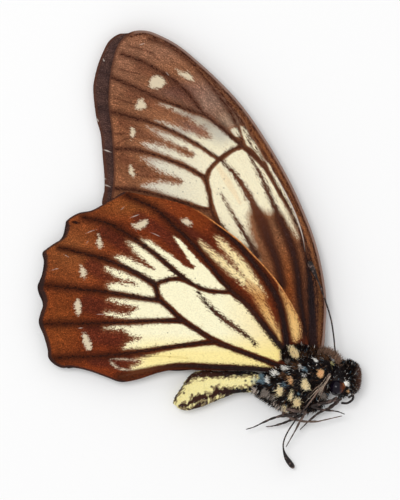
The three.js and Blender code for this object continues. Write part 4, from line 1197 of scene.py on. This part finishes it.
def add_root_mound(settings, dark, material):
    """Hair over the wings' roots, rooted on a shallow dome and swept towards the wings."""
    rng = np.random.default_rng(71)
    count = 2600
    turn, share = rng.uniform(0, 2 * math.pi, count), np.sqrt(rng.uniform(0, 1, count))
    places = np.stack([np.cos(turn), np.sin(turn)], axis=1) * share[:, None] * ROOT_MOUND_SIZE + ROOT_MOUND_CENTRE
    heights = ROOT_MOUND_HEIGHT + 0.75 * MM * (1 - share ** 2)
    roots = np.concatenate([on_floor_plan(places), heights[:, None]], axis=1)
    normals = np.stack([0.5 * np.cos(turn) * share, -0.5 * np.sin(turn) * share, np.ones(count)], axis=1)
    normals /= np.linalg.norm(normals, axis=1)[:, None]
    coat = {"length": 0.75 * MM, "width": settings.hair_width, "lean": (-0.15, 0.9, 0.0), "unruly": 0.4,
            "frost_and_glint": 0.08}
    add_hairs("wing_root_hair", roots, normals, coat,
              lambda points, ragged: patch_tones(points, dark, ROOT_MOUND_PATCHES, ragged), material, 72)


# Dark bands of the abdomen: line in the picture and half width along it
ABDOMEN_BACK = ([(272, 371), (250, 371.5), (230, 372.5), (212, 373), (203, 374), (194, 375.5), (187, 380.5), (181, 388),
                 (176, 396), (173.5, 404)], (5.0, 3.6, 3.4, 3.6, 3.8, 4.2, 3.6, 2.6, 1.6, 1.0, 0.7))
ABDOMEN_STRIPE = ([(272, 386), (262, 389), (250, 388.5), (240, 391), (228, 392), (219, 391.5), (210, 396), (202, 397.5),
                   (196, 398), (190, 402), (184, 405), (180, 406)],
                  (7.0, 4.6, 2.4, 2.4, 3.0, 3.2, 3.8, 2.6, 2.0, 2.4, 1.8, 0.8))
ABDOMEN_BELLY = ([(232, 393.5), (224, 397), (217, 400), (210, 404), (204, 402), (198, 406.5), (192, 409), (186, 410.5)],
                 (1.4, 1.6, 1.2, 1.6, 1.4, 1.8, 1.0, 0.6))
ABDOMEN_DOTS = ((211.5, 386.5), (184, 393), (245.5, 380.5), (251.8, 381.2), (192, 394.5), (236, 377))


def abdomen_tones(points, pale, dark, shift=0.0):
    """Pale sides between a dark back, a ragged dark stripe low on the side and a broken belly line."""
    places, around = in_picture(points), unrolled(points)
    x = places[:, 0]
    broken = 1.6 * ripple(around, 3.6, 31) + 1.7 * ripple(around, 1.6, 32) + shift
    bands = [stroke_depth(places, *band) + weight * broken
             for band, weight in ((ABDOMEN_BACK, 0.8), (ABDOMEN_STRIPE, 1.0), (ABDOMEN_BELLY, 1.0))]
    dots = deepest([1.2 - np.linalg.norm(places - np.array(dot), axis=1) for dot in ABDOMEN_DOTS])
    marks = np.clip(deepest(bands + [dots]) * 0.9 + 0.4, 0, 1)
    edge = np.clip(1 - np.abs(deepest(bands) + 1.0) / 2.4, 0, 1)
    rings = 0.05 * np.clip(np.cos((x - 3) * 2 * math.pi / 15.5) * 5 - 4, 0, 1)
    tone = np.tile(np.array(pale, float), (len(points), 1)) * (1 - rings)[:, None]
    tone = blended(tone, (0.11, 0.034, 0.012), 0.9 * edge * (ripple(around, 1.8, 34) > -0.1))
    brown = np.clip((240 - x) / 24, 0, 1)
    tone = blended(tone, blended(np.tile(dark, (len(points), 1)), srgb(62, 32, 22), brown), marks)
    blue = np.clip(1.4 - np.linalg.norm((places - np.array([260, 380.5])) / np.array([7.5, 5.5]), axis=1), 0, 1)
    return blended(tone, BLUE, 0.75 * blue * (ripple(places, 2.4, 33) > -0.2))


class BUTTERFLY_OT_abdomen(bpy.types.Operator):
    """Add the pale abdomen with its dark back and broken stripe"""
    bl_idname = "butterfly.abdomen"
    bl_label = "Abdomen"

    def execute(self, context):
        settings = context.scene.butterfly_body
        pale, dark = tuple(settings.abdomen_colour), tuple(settings.hair_colour)
        skin = tufted_material("abdomen_scales", 0.82, 1.04, 0.7)
        form = add_body_form("abdomen_scales", "abdomen", ABDOMEN_SECTIONS, "abdomen_scales", skin,
                             lambda points: abdomen_tones(points, pale, dark), 200, 150, lumps=0.1 * MM)
        roots, normals = scatter(*form, 6500, np.random.default_rng(31))
        coat = {"length": 0.36 * MM, "width": 0.036 * MM, "lean": (-1.5, -0.3, 0.0), "unruly": 0.4, "frost_and_glint": 0.06}
        add_hairs("abdomen_hair", roots, normals, coat,
                  lambda points, ragged: abdomen_tones(points, pale, dark, 1.4 * ragged), skin, 32)
        return {"FINISHED"}


class BUTTERFLY_OT_head(bpy.types.Operator):
    """Add the head, its palps and its eyes"""
    bl_idname = "butterfly.head"
    bl_label = "Head, palps and eyes"

    def execute(self, context):
        settings = context.scene.butterfly_body
        dark = tuple(settings.hair_colour)
        tufts = tufted_material("head_tufts", 0.85, 1.15)
        form = add_body_form("head_skin", "head", HEAD_SECTIONS, "body_hair", tufts,
                             lambda points: patch_tones(points, dark, HEAD_PATCHES), 60, 64)
        roots, normals = scatter(*form, 3200, np.random.default_rng(41))
        coat = {"length": 0.5 * MM, "width": settings.hair_width, "lean": (0.3, 0.35, 0.0), "unruly": 0.4,
                "frost_and_glint": 0.12}
        roots, normals = clear_of_eyes(roots, normals)
        add_hairs("head_hair", roots, normals, coat,
                  lambda points, ragged: patch_tones(points, dark, HEAD_PATCHES, ragged), tufts, 42)
        for number, (side, sign) in enumerate((("right", 1), ("left", -1))):
            height = BODY_MIDDLE_HEIGHT + sign * PALP_OFFSET
            form = add_body_form(side + "_palp_skin", side + "_palp", PALP_SECTIONS, "body_hair", tufts,
                                 lambda points: palp_tones(points, dark), 40, 40, height)
            roots, normals = scatter(*form, 3200, np.random.default_rng(43 + number))
            roots, normals = clear_of_eyes(roots, normals)
            coat = {"length": 0.72 * MM, "width": settings.hair_width * 0.85, "lean": (0.1, 0.35, 0.0), "unruly": 0.5,
                    "frost_and_glint": 0.14}
            add_hairs(side + "_palp_hair", roots, normals, coat,
                      lambda points, ragged: palp_tones(points, dark), tufts, 45 + number)
        gloss = eye_material()
        for side, sign in (("right", 1), ("left", -1)):
            add_eye(side, sign, gloss)
        return {"FINISHED"}


def clear_of_eyes(roots, normals):
    """The roots that stand far enough from both eyes for their hair to leave the eyes bare."""
    bare = np.linalg.norm(in_picture(roots) - np.array(EYE_CENTRE), axis=1) > EYE_CLEARANCE
    return roots[bare], normals[bare]


def palp_tones(points, dark):
    """Dark hair that turns reddish brown towards the front rim."""
    x = in_picture(points)[:, 0]
    return blended(np.tile(np.array(dark, float), (len(points), 1)), PALP_RIM, np.clip((x - 354) / 4.5, 0, 1))


def add_eye(side, sign, material):
    """Sphere by latitude and longitude."""
    rings, sides = 40, 56
    polar = np.linspace(0, math.pi, rings + 2)[1:-1][:, None]
    turn = np.linspace(0, 2 * math.pi, sides, endpoint=False)[None]
    ball = np.stack([np.sin(polar) * np.cos(turn), np.cos(polar) + 0 * turn, np.sin(polar) * np.sin(turn)], axis=-1)
    ball = np.vstack([ball.reshape(-1, 3), [[0, 1, 0], [0, -1, 0]]]) * EYE_RADIUS
    centre = np.append(on_floor_plan(EYE_CENTRE), BODY_MIDDLE_HEIGHT + sign * EYE_OFFSET)
    faces = tube_faces(rings, sides)
    piece = add_mesh(side + "_eye_dome", ball + centre, faces, [material])
    # Painted orange-brown reflection on the eye's outer side
    warm = np.clip((ball[:, 0] / EYE_RADIUS - 0.35) / 0.5, 0, 1)
    set_colours(piece, "tone", blended(np.tile(srgb(16, 10, 22), (len(ball), 1)), srgb(104, 50, 24), warm))
    settle(piece, "eye_gloss", side + "_eye")
    return piece


def add_tube_piece(name, node, path, radii, sides, material, tones):
    """A tube along the path; tones holds one colour for each ring."""
    vertices = tube(path, radii, sides)
    piece = add_mesh(name, vertices, tube_faces(len(path), sides), [material])
    set_colours(piece, "tone", np.vstack([np.repeat(tones, sides, axis=0), tones[:1], tones[-1:]]))
    settle(piece, "leg_cuticle", node)
    return piece


class BUTTERFLY_OT_antennae(bpy.types.Operator):
    """Add the two clubbed antennae and the coiled proboscis"""
    bl_idname = "butterfly.antennae"
    bl_label = "Antennae and proboscis"

    def execute(self, context):
        settings = context.scene.butterfly_limbs
        material = cuticle_material()
        tone = tuple(settings.colour)
        for name, points in ANTENNAE.items():
            path = smooth_line(in_space(points), 260)
            share = np.linspace(0, 1, 260)
            swell = np.clip((share - 0.78) / 0.16, 0, 1)
            swell = swell * swell * (3 - 2 * swell)
            radii = settings.shaft_radius + (settings.club_radius - settings.shaft_radius) * swell
            radii *= 1 - 0.1 * (np.arange(260) % 6 == 0)
            radii *= np.sqrt(np.clip(1 - ((share - 0.96) / 0.0405) ** 2, 0.02, 1)) ** (share > 0.96)
            # The lower antenna is paler towards its base
            paler_base = np.clip((0.38 - share) / 0.12, 0, 1) * (name == "lower_antenna")
            add_tube_piece(name + "_shaft", name, path, radii, 14, material,
                           blended(np.tile(tone, (260, 1)), PALE_CUTICLE, paler_base))
        path = smooth_line(in_space(PROBOSCIS_PATH), 60)
        add_tube_piece("proboscis_coil", "proboscis", path, np.full(60, 0.19 * MM), 12, material, np.tile(tone, (60, 1)))
        return {"FINISHED"}


class BUTTERFLY_OT_legs(bpy.types.Operator):
    """Add the six folded legs, each a femur, a tibia and a foot"""
    bl_idname = "butterfly.legs"
    bl_label = "Legs"

    def execute(self, context):
        settings = context.scene.butterfly_limbs
        material = bpy.data.materials.get("dark_cuticle") or cuticle_material()
        for name, (femur, tibia, tarsus) in LEGS.items():
            parts = [(femur, settings.femur_radius, 0.8, 30), (tibia, settings.femur_radius * 0.64, 0.75, 30),
                     (tarsus, settings.tarsus_radius * 1.4, 0.6, 30)]
            vertices, quads, fans, first = [], [], [], 0
            for points, radius, taper, count in parts:
                path = smooth_line(in_space(points), count)
                share = np.linspace(0, 1, count)
                radii = radius * (1 - (1 - taper) * share) * (1 - 0.25 * np.abs(np.sin(share * math.pi * 2.5)) ** 8)
                shell = tube(path, radii, 12)
                shell_quads, shell_fans = tube_faces(count, 12, first)
                quads.append(shell_quads)
                fans.append(shell_fans)
                vertices.append(shell)
                first += len(shell)
            vertices = np.vstack(vertices)
            faces = [np.vstack(quads), np.vstack(fans)]
            piece = add_mesh(name + "_segments", vertices, faces, [material])
            # Painted sheen along the leg
            leg_sheen_share = np.full(len(vertices), LEG_SHEEN.get(name, 0.05))
            set_colours(piece, "tone", blended(np.tile(tuple(settings.colour), (len(vertices), 1)), PALE_CUTICLE, leg_sheen_share))
            settle(piece, "leg_cuticle", name)
        return {"FINISHED"}


def add_area_light(name, place, target, size, power):
    light = bpy.data.lights.new(name, "AREA")
    light.shape = "DISK"
    light.size = size
    light.energy = power
    lamp = bpy.data.objects.new(name, light)
    bpy.context.scene.collection.objects.link(lamp)
    lamp.location = place
    aim = np.array(target) - np.array(place)
    aim = aim / np.linalg.norm(aim)
    lamp.rotation_euler = (math.acos(-aim[2]), 0, math.atan2(-aim[0], aim[1]) if aim[2] > -0.9999 else 0)
    return lamp


class BUTTERFLY_OT_stage(bpy.types.Operator):
    """Add the pale floor, the soft lights and the camera"""
    bl_idname = "butterfly.stage"
    bl_label = "Stage"

    def execute(self, context):
        scene = context.scene
        settings = scene.butterfly_stage
        half = 3.0
        corners = np.array([(-half, -half, 0), (half, -half, 0), (half, half, 0), (-half, half, 0)], float)
        corners[:, 2] = -0.02 * MM
        floor_shader = Shader("floor", roughness=0.9, specular=0.05)
        floor_material = floor_shader.finish(tuple(settings.floor_colour))
        floor = add_mesh("floor", corners, [np.array([[0, 1, 2, 3]])], [floor_material], smooth=False)

        add_area_light("key_light", (-0.16, 0.14, 0.9), (0, 0, 0), 0.35, settings.key_power)
        world = bpy.data.worlds.new("studio")
        world.use_nodes = True
        world.node_tree.nodes["Background"].inputs["Color"].default_value = (1, 1, 1, 1)
        world.node_tree.nodes["Background"].inputs["Strength"].default_value = settings.fill_strength
        scene.world = world
        scene.view_settings.view_transform = "Standard"

        camera = bpy.data.cameras.new("camera")
        sensor = 36.0
        camera.sensor_width = sensor
        view_height = PICTURE_SIZE[1] * SCALE
        camera.lens = sensor * (settings.camera_distance - 3 * MM) / view_height
        eye = bpy.data.objects.new("camera", camera)
        centre = on_floor_plan((PICTURE_SIZE[0] / 2, PICTURE_SIZE[1] / 2))
        eye.location = (centre[0], centre[1], settings.camera_distance)
        scene.collection.objects.link(eye)
        scene.camera = eye
        return {"FINISHED"}


OPERATORS = (BUTTERFLY_OT_stage, BUTTERFLY_OT_wings, BUTTERFLY_OT_thorax, BUTTERFLY_OT_abdomen, BUTTERFLY_OT_head,
             BUTTERFLY_OT_antennae, BUTTERFLY_OT_legs)
SETTINGS = {"butterfly_wings": WingSettings, "butterfly_body": BodySettings, "butterfly_limbs": LimbSettings,
            "butterfly_stage": StageSettings}


class BUTTERFLY_PT_panel(bpy.types.Panel):
    """Lists the pieces of the butterfly"""
    bl_label = "Dried Butterfly"
    bl_idname = "BUTTERFLY_PT_panel"
    bl_space_type = "VIEW_3D"
    bl_region_type = "UI"
    bl_category = "Butterfly"

    def draw(self, context):
        for operator in OPERATORS:
            self.layout.operator(operator.bl_idname)


def register():
    for group in SETTINGS.values():
        bpy.utils.register_class(group)
    for name, group in SETTINGS.items():
        setattr(bpy.types.Scene, name, bpy.props.PointerProperty(type=group))
    for operator in OPERATORS:
        bpy.utils.register_class(operator)
    bpy.utils.register_class(BUTTERFLY_PT_panel)


def unregister():
    bpy.utils.unregister_class(BUTTERFLY_PT_panel)
    for operator in reversed(OPERATORS):
        bpy.utils.unregister_class(operator)
    for name in SETTINGS:
        delattr(bpy.types.Scene, name)
    for group in reversed(list(SETTINGS.values())):
        bpy.utils.unregister_class(group)


def main():
    register()
    bpy.ops.butterfly.stage()
    bpy.ops.butterfly.wings()
    bpy.ops.butterfly.thorax()
    bpy.ops.butterfly.abdomen()
    bpy.ops.butterfly.head()
    bpy.ops.butterfly.antennae()
    bpy.ops.butterfly.legs()


if __name__ == "__main__":
    main()
